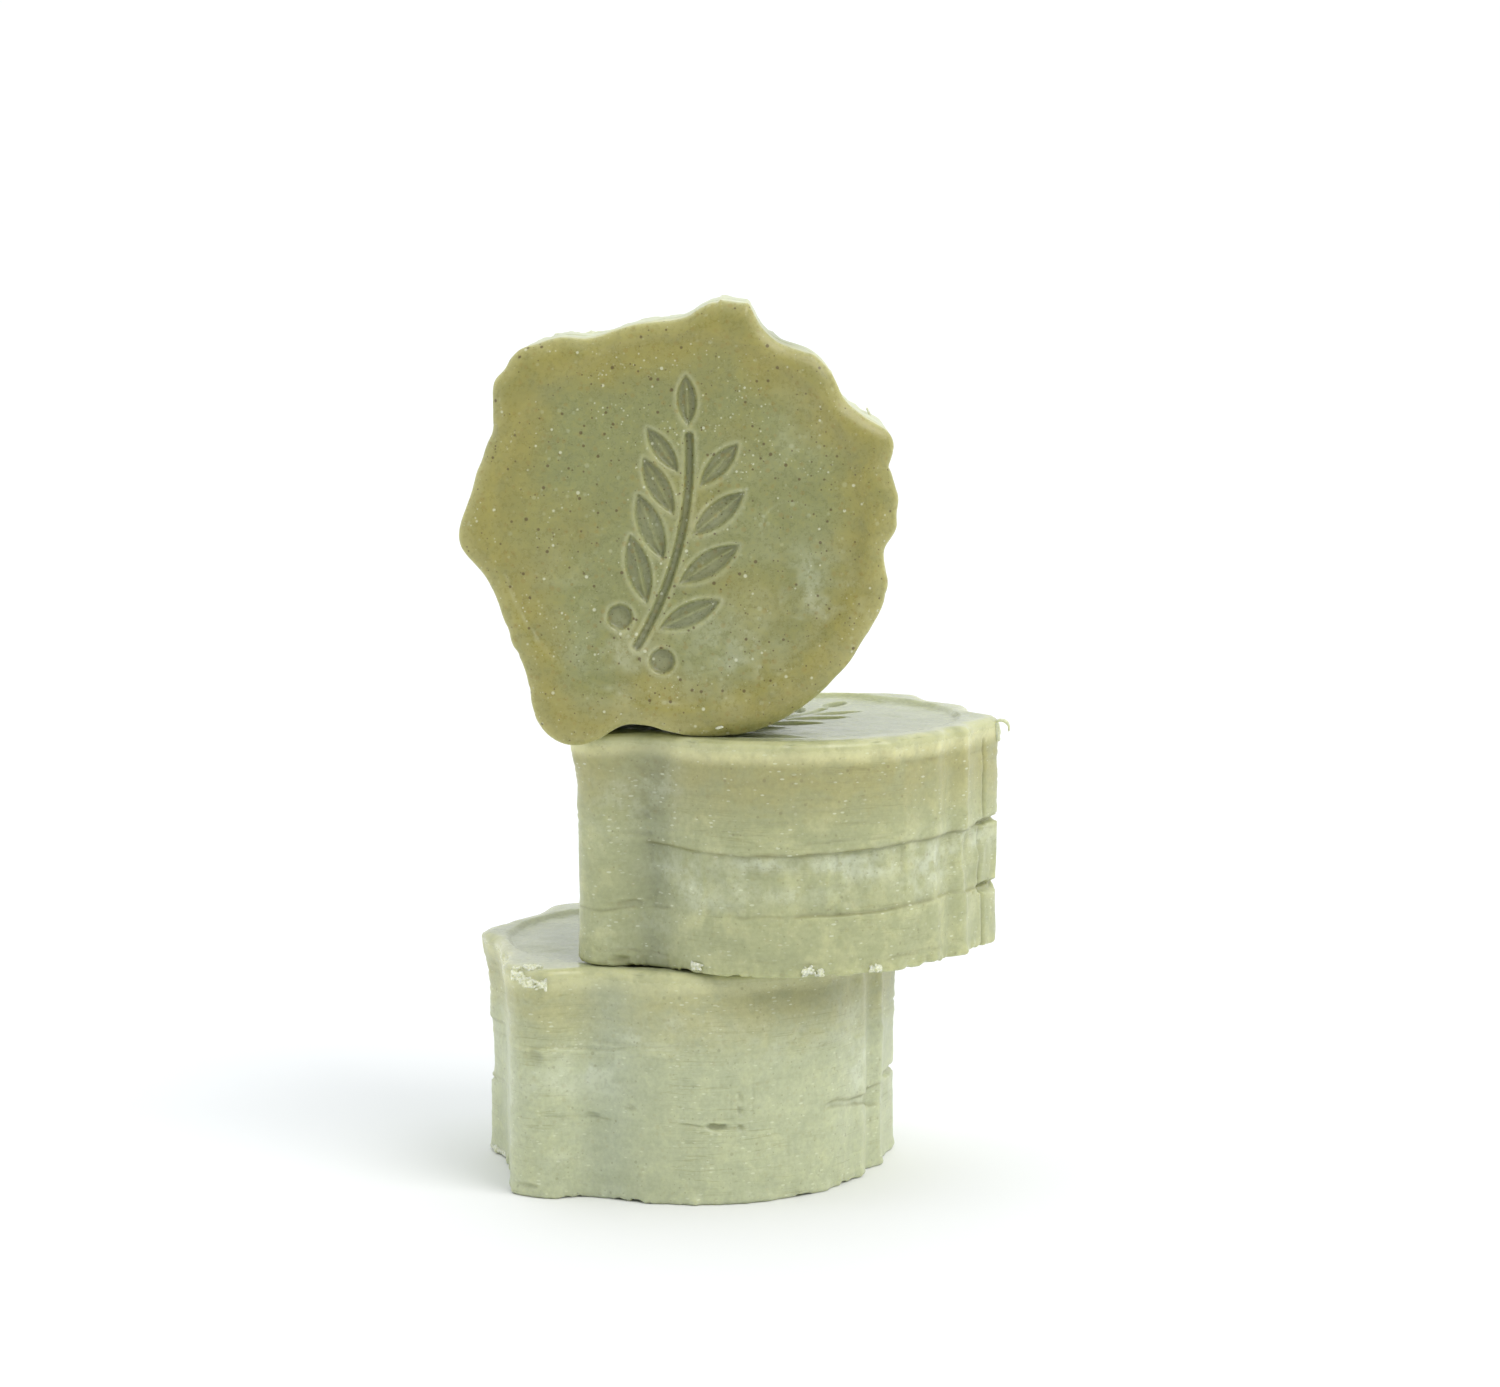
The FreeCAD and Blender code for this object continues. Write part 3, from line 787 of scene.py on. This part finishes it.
def add_wall(skin, puck, noise, angle, reach, previous, rim_wave):
    """Rim, wall and ragged foot, returning the last ring and its x and y."""
    thickness = puck.thickness
    rows = skin_rows(puck)
    inset, level, share = (column[:, None] for column in rows.T)
    level = level + np.zeros(len(angle))
    wide_angle = np.broadcast_to(angle, level.shape)
    wide_reach = np.broadcast_to(reach, level.shape)
    relief, film, shade, hollow = wall_relief(puck, WallPoints(noise, wide_angle, level, wide_reach))
    inset = inset + relief * share
    spot = stack(*polar(wide_reach, angle), level * 0.5)
    rough = np.clip(0.5 + noise(spot, 4.5), 0.1, 1)
    inset = inset + smooth(thickness - 9, thickness - 3, level) * rough * (0.02 + 0.16 * noise(spot, 2.3))
    foot = smooth(2.4, 0.4, level)
    along = stack(wide_reach * np.radians(wide_angle), 0, 0)
    inset = inset + foot * 0.16 * (noise(along, 2.2) + 0.7 * noise(along, 0.8))
    lift = foot * 0.38 * np.clip(noise(along, 5.0) + 0.5 * noise(along, 1.1) - 0.1, 0, 1)
    x, y = polar(wide_reach - inset, angle)
    if puck.standing:
        y, film = settle(puck, x, y, level, film)
    z = level + rim_wave * smooth(thickness - 6, thickness, level) + lift
    marks = {"film": film * share, "shade": shade * share, "hollow": hollow * share}
    marks["face"] = smooth(thickness - 2.6, thickness - 0.6, level)
    first = skin.add(x, y, z, depth=inset, level=level / thickness, **marks)
    for row in range(len(rows)):
        ring = first + row * len(angle) + np.arange(len(angle))
        skin.faces.append(ring_faces(previous, ring))
        previous = ring
    return previous, x[-1], y[-1]


def add_back(skin, puck, noise, angle, previous, foot_x, foot_y):
    """The plain back face: two rings, each with half the points of the one before, and a coarser grid."""
    for halvings, depth, ease in ((1, 1.0, 0.0), (2, 3.0, 0.35)):
        step = 2**halvings
        keep = (1 - depth / np.hypot(foot_x, foot_y))[::step] * (1 - ease)
        ease_x, ease_y = polar((BACK_RADIUS + 4) * ease, angle[::step])
        ring_x, ring_y = foot_x[::step] * keep + ease_x, foot_y[::step] * keep + ease_y
        first = skin.add(ring_x, ring_y, 0.1 + 0.05 * noise(stack(ring_x, ring_y, 0), 6.0), depth=depth)
        ring = first + np.arange(len(ring_x))
        skin.faces.append(halving_faces(previous, ring))
        previous = ring
    cells = puck.cells // 4
    x, y = (BACK_RADIUS * unit for unit in square_to_disc(cells))
    first = skin.add(x, y, 0.12 + 0.06 * noise(stack(x, y, 0), 6.0), depth=8.0)
    skin.faces.append(ring_faces(previous, grid_rim(cells, first)))
    skin.faces.append(grid_faces(cells, first, True))


def build_puck(puck):
    """A closed mesh: stamped face, rounded rim, marked side wall, ragged foot and plain back."""
    noise = Noise(puck.seed)
    columns = 4 * puck.cells
    angle = -45 + 360 / columns * np.arange(columns)
    reach = puck.outline(angle)
    skin = Skin()
    ring, rim_wave = add_face(skin, puck, noise, angle, reach)
    ring, foot_x, foot_y = add_wall(skin, puck, noise, angle, reach, ring, rim_wave)
    add_back(skin, puck, noise, angle, ring, foot_x, foot_y)
    return skin.finished()


def new_mesh(name, points, faces, marks=None):
    mesh = bpy.data.meshes.new(name)
    mesh.from_pydata(points.tolist(), [], [face for group in faces for face in group.tolist()])
    for mark, values in (marks or {}).items():
        mesh.attributes.new(mark, "FLOAT", "POINT").data.foreach_set("value", values.astype(np.float32))
    mesh.update()
    return mesh


def add_piece(name, mesh, material=None):
    """A smooth piece in the scene, of one material."""
    mesh.polygons.foreach_set("use_smooth", [True] * len(mesh.polygons))
    if material:
        mesh.materials.append(material)
    piece = bpy.data.objects.new(name, mesh)
    bpy.context.scene.collection.objects.link(piece)
    return piece


# ------------ crumbs, flakes and the curl


def loose_parts(name):
    """The separate lumps of one CAD node, each as its points (mm)."""
    points, welded = np.unique(node_points(name).round(3), axis=0, return_inverse=True)
    welded = welded.ravel()
    group = np.arange(len(points))
    edges = welded[np.array([edge.vertices[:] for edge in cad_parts[name].data.edges])]
    while True:
        lowest = group.copy()
        np.minimum.at(lowest, edges[:, 0], group[edges[:, 1]])
        np.minimum.at(lowest, edges[:, 1], group[edges[:, 0]])
        if np.array_equal(lowest, group):
            break
        group = lowest
    return [points[group == value] for value in np.unique(group)]


def ball():
    mesh = bmesh.new()
    bmesh.ops.create_icosphere(mesh, subdivisions=2, radius=1.0)
    points = np.array([v.co[:] for v in mesh.verts])
    faces = np.array([[v.index for v in face.verts] for face in mesh.faces])
    mesh.free()
    return points, faces


def ragged(name, node, count, grit, spread, sag, seed):
    """A CAD node's lumps as closed clusters of small grains. The grains' radius is grit, and a lump's front
    hangs down over the rim by sag, both in mm. A lump's size is multiplied by spread."""
    chance = np.random.RandomState(seed)
    noise = Noise(seed)
    low, high = (np.array(corner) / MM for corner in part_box(node))
    unit, unit_faces = ball()
    points, faces = [], []
    for lump in loose_parts(node):
        centre = (lump.max(0) + lump.min(0)) / 2
        _, _, axes = np.linalg.svd(lump - lump.mean(0), full_matrices=False)
        half = np.abs((lump - centre) @ axes.T).max(0) * spread
        grain_half = np.minimum(half, grit)
        for _ in range(count):
            place = chance.uniform(-1, 1, 3)
            place *= chance.uniform(0.2, 1) / max(np.linalg.norm(place * [1, 1, 0.6]), 1)
            size = grain_half * chance.uniform(0.55, 1.0, 3)
            grain = unit * size * (1 + 0.3 * noise(unit * 3 + place * 9, 1.0))[:, None]
            grain = np.clip(centre + (place * (half - grain_half * 0.8) + grain) @ axes, low, high)
            forward = (high[1] - grain[:, 1].mean()) / (high[1] - low[1])
            grain[:, 2] -= sag * smooth(0.2, 1.0, forward)
            faces.append(unit_faces + len(points) * len(unit))
            points.append(grain)
    return melted(name, np.concatenate(points), faces, 0.3 * grit, crumb_soap)


def strip(line, across, deep, axis):
    """A closed strip along a line that lies across the axis, with half its width and half its depth."""
    steps, sides = len(line), 20
    sideways = np.cross(axis, np.gradient(line, axis=0))
    sideways /= np.linalg.norm(sideways, axis=1)[:, None]
    around = 2 * math.pi * np.arange(sides) / sides
    rings = line[:, None] + (sideways * across[:, None])[:, None] * np.cos(around)[None, :, None]
    rings = rings + np.multiply.outer(np.outer(deep, np.sin(around)), axis)
    points = np.vstack([rings.reshape(-1, 3), line[:1], line[-1:]])
    ring = np.arange(sides)
    faces = [ring_faces(ring + row * sides, ring + (row + 1) * sides) for row in range(steps - 1)]
    last = ring + (steps - 1) * sides
    faces.append(stack(len(points) - 2, ring, np.roll(ring, -1)))
    faces.append(stack(len(points) - 1, np.roll(last, -1), last))
    return points, faces


def melted(name, points, faces, voxel, material):
    """Overlapping closed shells joined to one skin."""
    rough = add_piece(name + "_rough", new_mesh(name + "_rough", points * MM, faces))
    melt = rough.modifiers.new("melt", "REMESH")
    melt.mode = "VOXEL"
    melt.voxel_size = voxel * MM
    mesh = bpy.data.meshes.new_from_object(rough.evaluated_get(bpy.context.evaluated_depsgraph_get()))
    bpy.data.objects.remove(rough)
    return add_piece(name, mesh, material)


def curl(name, node):
    """A peel at the rim, in two: a thin hook that curls out and down, and a broad tongue that hangs."""
    points = np.concatenate(loose_parts(node))
    (ring_x, ring_z), ring_radius = fit_circle(points[:, [0, 2]])
    ring_y = points[:, 1].mean()
    share = np.linspace(0, 1, 60)
    ends = np.sqrt(1 - np.clip(2.2 * share - 1.2, 0, 1) ** 2 * 0.98)
    width = ends * (1 + 0.25 * Noise(31)(stack(4 * share, 0, 0), 1.0))
    out, up = polar(0.86 * ring_radius, 128 - 152 * share)
    hook = stack(ring_x - 0.45 * ring_radius + out, ring_y, ring_z - 0.3 * ring_radius + up)
    tongue = stack(
        ring_x - ring_radius * (0.98 - 0.3 * share**2),
        ring_y - 0.7 + 0.3 * share,
        ring_z + ring_radius * (0.35 - 2.0 * share),
    )
    hook_points, faces = strip(hook, 0.27 * width, 0.42 * ends, (0, 1, 0))
    tongue_points, tongue_faces = strip(tongue, 0.62 * width, (0.5 - 0.15 * share) * ends, (0, 1, 0))
    faces += [group + len(hook_points) for group in tongue_faces]
    return melted(name, np.vstack([hook_points, tongue_points]), faces, 0.07, peel_soap)


def foot_lip(name, puck, start, end):
    """A thin pale lip of soap along the foot of a puck's wall, between two directions."""
    share = np.linspace(0, 1, 70)
    angle = start + (end - start) * share
    level = np.full(share.shape, 0.75)
    reach = puck.outline(angle)
    inset = wall_relief(puck, WallPoints(Noise(puck.seed), angle, level, reach))[0]
    ends = np.sqrt(np.sin(math.pi * np.clip(share, 0.01, 0.99)))
    width = ends * (1 + 0.35 * Noise(12)(stack(9 * share, 0, 0), 1.0))
    points, faces = strip(stack(*polar(reach - inset, angle), level), 0.3 * width, 0.45 * width, (0, 0, 1))
    return melted(name, puck.to_frame(points) / MM, faces, 0.08, crumb_soap)


# ------------ materials


class Nodes:
    """Short names for building one node tree."""

    def __init__(self, tree):
        self.tree = tree
        self.shader = tree.nodes.get("Principled BSDF")

    def add(self, kind, inputs, **settings):
        node = self.tree.nodes.new("ShaderNode" + kind)
        for key, value in settings.items():
            setattr(node, key, value)
        self.feed(node, inputs)
        return node

    def feed(self, node, inputs):
        """Link or set a node's inputs, by name or number."""
        for key, value in inputs.items():
            if isinstance(value, bpy.types.NodeSocket):
                self.tree.links.new(value, node.inputs[key])
            else:
                node.inputs[key].default_value = value

    def place(self, output):
        return self.add("TexCoord", {}).outputs[output]

    def mark(self, name):
        return self.add("Attribute", {}, attribute_name=name).outputs["Fac"]

    def maths(self, operation, *values, clamp=False):
        inputs = dict(enumerate(values))
        return self.add("Math", inputs, operation=operation, use_clamp=clamp).outputs[0]

    def times(self, *values):
        return reduce(lambda total, value: self.maths("MULTIPLY", total, value), values)

    def highest(self, *values):
        return reduce(lambda total, value: self.maths("MAXIMUM", total, value), values)

    def ramp(self, value, low, high, to_low=0.0, to_high=1.0):
        limits = dict(enumerate((value, low, high, to_low, to_high)))
        return self.add("MapRange", limits, interpolation_type="SMOOTHSTEP").outputs["Result"]

    def mix(self, amount, first, second, blend="MIX"):
        inputs = {0: amount, 6: first, 7: second}
        return self.add("Mix", inputs, data_type="RGBA", blend_type=blend).outputs[2]

    def layered(self, colour, *layers):
        """A colour under layers of others, each as (how much of it shows, colour)."""
        for amount, layer in layers:
            colour = self.mix(amount, colour, layer)
        return colour

    def toned(self, colour, value):
        """A colour made darker or paler by a grey value."""
        grey = self.add("CombineColor", {0: value, 1: value, 2: value})
        return self.mix(1.0, colour, grey.outputs["Color"], "MULTIPLY")

    def scaled(self, place, x, y, z):
        return self.add("Mapping", {"Vector": place, "Scale": (x, y, z)}).outputs["Vector"]

    def noise(self, place, scale, detail, roughness, distortion=0.0):
        inputs = {"Vector": place, "Scale": scale, "Detail": detail, "Roughness": roughness}
        return self.add("TexNoise", {**inputs, "Distortion": distortion}).outputs["Fac"]

    def specks(self, place, scale, size, share, channel):
        """Small dots: one in some of the cells of a scatter, chosen by the cell's random colour."""
        cells = self.add("TexVoronoi", {"Vector": place, "Scale": scale})
        parts = self.add("SeparateColor", {"Color": cells.outputs["Color"]}).outputs
        chosen = self.ramp(parts[channel], 1 - share, 1 - share + 0.02)
        radius = self.maths("MULTIPLY_ADD", parts["Blue"], size * 0.8, size * 0.4)
        away = self.maths("DIVIDE", cells.outputs["Distance"], radius)
        dot = self.maths("SUBTRACT", 1.0, away, clamp=True)
        return self.times(self.ramp(dot, 0.0, 0.5), chosen)

    def raised(self, height, strength, distance):
        inputs = {"Height": height, "Strength": strength, "Distance": distance}
        return self.add("Bump", inputs).outputs["Normal"]


def rgb(red, green, blue):
    """A colour given as it looks on a screen (0 to 255), in linear light."""
    values = []
    for channel in (red, green, blue):
        part = channel / 255
        values.append(part / 12.92 if part <= 0.04045 else ((part + 0.055) / 1.055) ** 2.4)
    return (*values, 1.0)


def new_material(name, settings):
    """A material and its nodes, with its shader's own numbers."""
    material = bpy.data.materials.new(name)
    material.use_nodes = True
    n = Nodes(material.node_tree)
    n.feed(n.shader, settings)
    return material, n


SOAP_DEPTH = 0.45
SOAP = {
    "Subsurface Weight": SOAP_DEPTH,
    "Subsurface Radius": (1.0, 0.92, 0.5),
    "Subsurface Scale": 0.0034,
    "Specular IOR Level": 0.5,
    "IOR": 1.46,
}


def soap_material(name, tints, grain_axis, speckled, lip, face_polish, face_bump):
    """Cast soap: mottled olive, yellower round the face, streaked and milky on the wall, specked, with
    painted shade in cracks and, partly, hollows, and a painted highlight along the rim.
    """
    material, n = new_material(name, SOAP)
    in_mm = n.scaled(n.place("Object"), 1000, 1000, 1000)
    face_tint, ring_tint, wall_tint, upper_tint, pale_and_highlight_tint, grey_tint = (rgb(*tint) for tint in tints)
    face, pressed, welt, film, shade, hollow, depth, level = (n.mark(mark) for mark in MARK_NAMES)

    def drawn(along, across):
        """The place, scaled along the grain and across it."""
        return n.scaled(in_mm, *(along if axis == grain_axis else across for axis in range(3)))

    broad = n.noise(in_mm, 0.07, 2.0, 0.5)
    cloud = n.noise(in_mm, 0.24, 4.0, 0.6, 0.4)
    grain = n.noise(in_mm, 1.3, 5.0, 0.65)
    fine = n.noise(in_mm, 4.5, 3.0, 0.6)
    streaks = n.noise(drawn(0.8, 0.09), 1.0, 3.0, 0.55, 0.2)
    threads = n.noise(drawn(0.8, 0.03), 1.0, 3.0, 0.55, 0.2)
    clouded = n.ramp(cloud, 0.25, 0.6, 0.4, 1.0)

    # the stamped face: greyer in the middle, yellower towards its edge
    face_colour = n.layered(
        face_tint,
        (n.times(n.ramp(depth, 12.0, 4.0), n.ramp(cloud, 0.25, 0.6, 0.5, 1.0)), ring_tint),
        (n.times(n.ramp(broad, 0.45, 0.66), 0.5), ring_tint),
        (n.times(n.ramp(grain, 0.5, 0.68), 0.35), ring_tint),
        (n.times(pressed, 0.5), grey_tint),
    )

    # the wall: yellower towards the rim, a painted highlight along its top, greyer hollows partly painted
    # as shade, fine dark lines along the grain
    hair = n.ramp(n.maths("ABSOLUTE", n.maths("SUBTRACT", threads, 0.5)), 0.012, 0.002)
    hair = n.times(hair, n.ramp(broad, 0.46, 0.6), n.maths("SUBTRACT", 1.0, face))
    wall_colour = n.layered(
        wall_tint,
        (n.times(n.ramp(cloud, 0.42, 0.7), 0.18), pale_and_highlight_tint),
        (n.times(n.ramp(level, 0.55, 0.85), clouded), upper_tint),
        # painted highlight: a pale band along the top of the wall
        (n.times(n.ramp(level, 0.88, 0.95), clouded), pale_and_highlight_tint),
        # greyer hollows: partly the soap's tone, partly painted shade
        (n.times(hollow, n.ramp(cloud, 0.3, 0.6, 0.35, 0.65)), grey_tint),
        (n.times(hair, 0.28), rgb(132, 130, 84)),
    )
    wall_colour = n.toned(wall_colour, n.ramp(streaks, 0.32, 0.66, 0.97, 1.02))

    # both: mottled, painted shade in cracks, dents and under ledges, milky under a film, pale along the
    # stamp's welt, and a painted highlight along the rim's lip
    mottle = n.times(n.ramp(grain, 0.3, 0.7, 0.93, 1.07), n.ramp(cloud, 0.3, 0.7, 0.95, 1.05))
    # painted highlight: paler within a few mm of the rim, where light catches the rim and glows through it
    edge = n.times(n.ramp(depth, 3.4, 0.2), n.ramp(level, 0.88, 0.97), n.ramp(cloud, 0.3, 0.6, 0.5, 1.0))
    colour = n.layered(
        n.toned(n.mix(face, wall_colour, face_colour), mottle),
        # painted shade where the shade mark is
        (n.times(shade, 0.66), rgb(112, 108, 62)),
        (n.times(film, n.ramp(grain, 0.3, 0.55, 0.35, 1.0), 0.52), rgb(214, 220, 198)),
        (n.times(welt, 0.3), rgb(206, 208, 180)),
        # the painted highlight along the rim, as strong as lip
        (n.times(edge, lip), rgb(206, 206, 160)),
    )

    # specks of white, brown and ochre, and pale flecks along the wall's grain
    many = n.ramp(face, 0.0, 1.0, 0.3, speckled)
    white_fine = n.times(n.specks(in_mm, 2.0, 0.34, 0.2, "Green"), n.ramp(cloud, 0.4, 0.6))
    white = n.times(n.highest(n.specks(in_mm, 0.8, 0.24, 0.2, "Red"), white_fine), many)
    brown_few = n.specks(in_mm, 0.62, 0.19, 0.48, "Green")
    brown = n.times(n.highest(brown_few, n.specks(in_mm, 1.4, 0.24, 0.3, "Red")), many)
    ochre = n.times(n.specks(in_mm, 0.9, 0.4, 0.5, "Red"), many)
    flecks = n.times(n.specks(drawn(1.7, 0.7), 1.0, 0.3, 0.4, "Green"), n.ramp(face, 0.0, 1.0, 1.0, 0.3))
    flecks = n.times(flecks, n.ramp(cloud, 0.36, 0.56, 0.15, 1.0))
    colour = n.layered(
        colour,
        (n.times(flecks, 0.5), rgb(222, 227, 202)),
        (n.times(ochre, 0.35), rgb(146, 126, 60)),
        (n.times(white, 0.56), rgb(220, 222, 196)),
        (n.times(brown, 0.8), rgb(86, 68, 34)),
    )

    # specks, flecks and cracks stay crisp because light hardly spreads in them
    crisp = n.highest(n.highest(white, brown), n.highest(shade, flecks))
    polish = n.ramp(face, 0.2, 0.8, 0.37, face_polish)
    relief = n.maths("MULTIPLY_ADD", fine, 0.35, grain)
    wall_streaks = n.ramp(face, 0.0, 1.0, 0.6, 0.0)
    for mark, amount in ((streaks, wall_streaks), (white, 0.15), (brown, -0.3), (hair, -0.8)):
        relief = n.maths("MULTIPLY_ADD", mark, amount, relief)
    n.feed(n.shader, {
        "Base Color": colour,
        "Subsurface Weight": n.maths("MULTIPLY_ADD", crisp, -0.4, SOAP_DEPTH, clamp=True),
        "Roughness": n.maths("ADD", polish, n.ramp(grain, 0.3, 0.7, -0.05, 0.07)),
        "Normal": n.raised(relief, n.ramp(face, 0.0, 1.0, 0.2, face_bump), 0.0003),
    })
    return material


def dry_material(name, dark, pale):
    """Dried shavings: duller than the soap they came from."""
    material, n = new_material(name, SOAP)
    grain = n.noise(n.scaled(n.place("Object"), 1000, 1000, 1000), 2.2, 5.0, 0.65)
    n.feed(n.shader, {
        "Base Color": n.mix(n.ramp(grain, 0.35, 0.65), dark, pale),
        "Roughness": n.ramp(grain, 0.3, 0.7, 0.5, 0.7),
        "Normal": n.raised(grain, 0.4, 0.0002),
    })
    return material


# ------------ the pieces

UPRIGHT = Puck("upright", 0.0, True, 3, UPRIGHT_WALL, SOFT_RIM, FINE_FACE)
MIDDLE = Puck("middle", -25.5, False, 5, MIDDLE_WALL, CRISP_RIM, FINE_WALL)
BOTTOM = Puck("bottom", -12.0, False, 9, BOTTOM_WALL, CRISP_RIM, FINE_WALL)

# each puck's colours on its face, its ring, its wall, its upper wall, its lip (a painted highlight) and its
# hollows (partly painted shade)
# partly painted light too: the bottom puck paler than the middle for the floor's bounce, and the upright's
# face darker than its wall where less light falls
TINTS = {
    "upright": [
        (140, 143, 93), (152, 145, 80), (196, 200, 168), (186, 184, 134), (206, 206, 160), (132, 136, 104)
    ],
    "middle": [
        (147, 152, 112), (164, 168, 128), (171, 175, 133), (165, 162, 112), (218, 215, 164), (130, 136, 110)
    ],
    "bottom": [
        (150, 155, 120), (172, 175, 138), (185, 191, 156), (180, 179, 132), (202, 202, 156), (176, 184, 160)
    ],
}
# lip sets how strong the painted highlight along the rim is
STANDING_LOOK = {"grain_axis": 1, "speckled": 1.0, "lip": 0.2, "face_polish": 0.29, "face_bump": 0.16}
LYING_LOOK = {"grain_axis": 2, "speckled": 0.1, "lip": 0.62, "face_polish": 0.2, "face_bump": 0.08}
crumb_soap = dry_material("crumb_soap", rgb(198, 200, 160), rgb(236, 238, 212))
peel_soap = dry_material("peel_soap", rgb(184, 190, 152), rgb(206, 210, 178))

for puck in (UPRIGHT, MIDDLE, BOTTOM):
    look = STANDING_LOOK if puck.standing else LYING_LOOK
    soap = soap_material(f"{puck.body}_soap", TINTS[puck.body], **look)
    own, faces, marks = build_puck(puck)
    piece = add_piece(f"{puck.name}_cast", new_mesh(puck.name, puck.to_frame(own), faces, marks), soap)
    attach(piece, puck.body)
    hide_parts(puck.name)

TRIMMINGS = [
    (ragged("bottom_crumb_heap", "bottom_puck_crumbs", 150, 0.32, 1.8, 1.6, 11), "bottom_puck_crumbs"),
    (foot_lip("bottom_foot_burr", BOTTOM, 182, 203), "bottom_puck_burr"),
    (ragged("middle_crumb_scatter", "middle_puck_crumbs", 70, 0.3, 1.5, 0.0, 13), "middle_puck_crumbs"),
    (ragged("upright_rim_flakes", "upright_puck_flakes", 90, 0.35, 1.0, 0.0, 14), "upright_puck_flakes"),
    (curl("middle_peel_curl", "middle_puck_curl"), "middle_puck_curl"),
]
for piece, node in TRIMMINGS:
    body = node.split("_")[0]
    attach(piece, body)
    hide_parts(node)

# ------------ the camera

CAMERA_PLACE = (0.01066, -0.61918, 0.15136)
CAMERA_DOWN = 7.066
LENS = 94.48
SENSOR = 36.0

camera_data = bpy.data.cameras.new("camera")
camera_data.lens = LENS
camera_data.sensor_width = SENSOR
camera = bpy.data.objects.new("camera", camera_data)
camera.location = CAMERA_PLACE
camera.rotation_euler = (math.radians(90 - CAMERA_DOWN), 0, 0)
bpy.context.scene.collection.objects.link(camera)
bpy.context.scene.camera = camera

# ------------ the light and the stage


def studio_world():
    """A white room: a little dimmer in front of the object, brightest overhead."""
    world = bpy.data.worlds.new("studio")
    world.use_nodes = True
    n = Nodes(world.node_tree)
    way = n.add("SeparateXYZ", {"Vector": n.place("Generated")}).outputs
    behind = n.ramp(way["Y"], -0.5, 0.2, 0.4, 1.06)
    overhead = n.ramp(way["Z"], 0.3, 0.8, 0.0, 0.3)
    strength = n.maths("ADD", behind, overhead)
    n.feed(n.tree.nodes["Background"], {"Color": (0.955, 0.985, 1.0, 1), "Strength": strength})
    return world


def soft_sun(place, energy, spread, colour):
    """A sun that shines from a place, its disc as wide as the spread in degrees."""
    data = bpy.data.lights.new("soft_sun", "SUN")
    data.energy = energy
    data.angle = math.radians(spread)
    data.color = colour
    light = bpy.data.objects.new("soft_sun", data)
    light.rotation_euler = (-Vector(place)).to_track_quat("-Z", "Y").to_euler()
    bpy.context.scene.collection.objects.link(light)


bpy.context.scene.world = studio_world()
soft_sun((0.74, -0.66, 0.95), 1.48, 40, (1.0, 0.98, 0.95))
soft_sun((-0.9, -0.25, 0.14), 0.42, 50, (1.0, 0.98, 0.92))

FLOOR_HALF = 30.0
FLOOR = {"Base Color": (0.87, 0.875, 0.885, 1), "Roughness": 0.6, "Specular IOR Level": 0.1}
corners = np.array([(-1, -1, 0), (1, -1, 0), (1, 1, 0), (-1, 1, 0)]) * FLOOR_HALF
floor_white, _ = new_material("pale_floor", FLOOR)
floor = add_piece("floor", new_mesh("floor", corners, [np.array([[0, 1, 2, 3]])]), floor_white)

bpy.context.scene.view_settings.view_transform = "Standard"
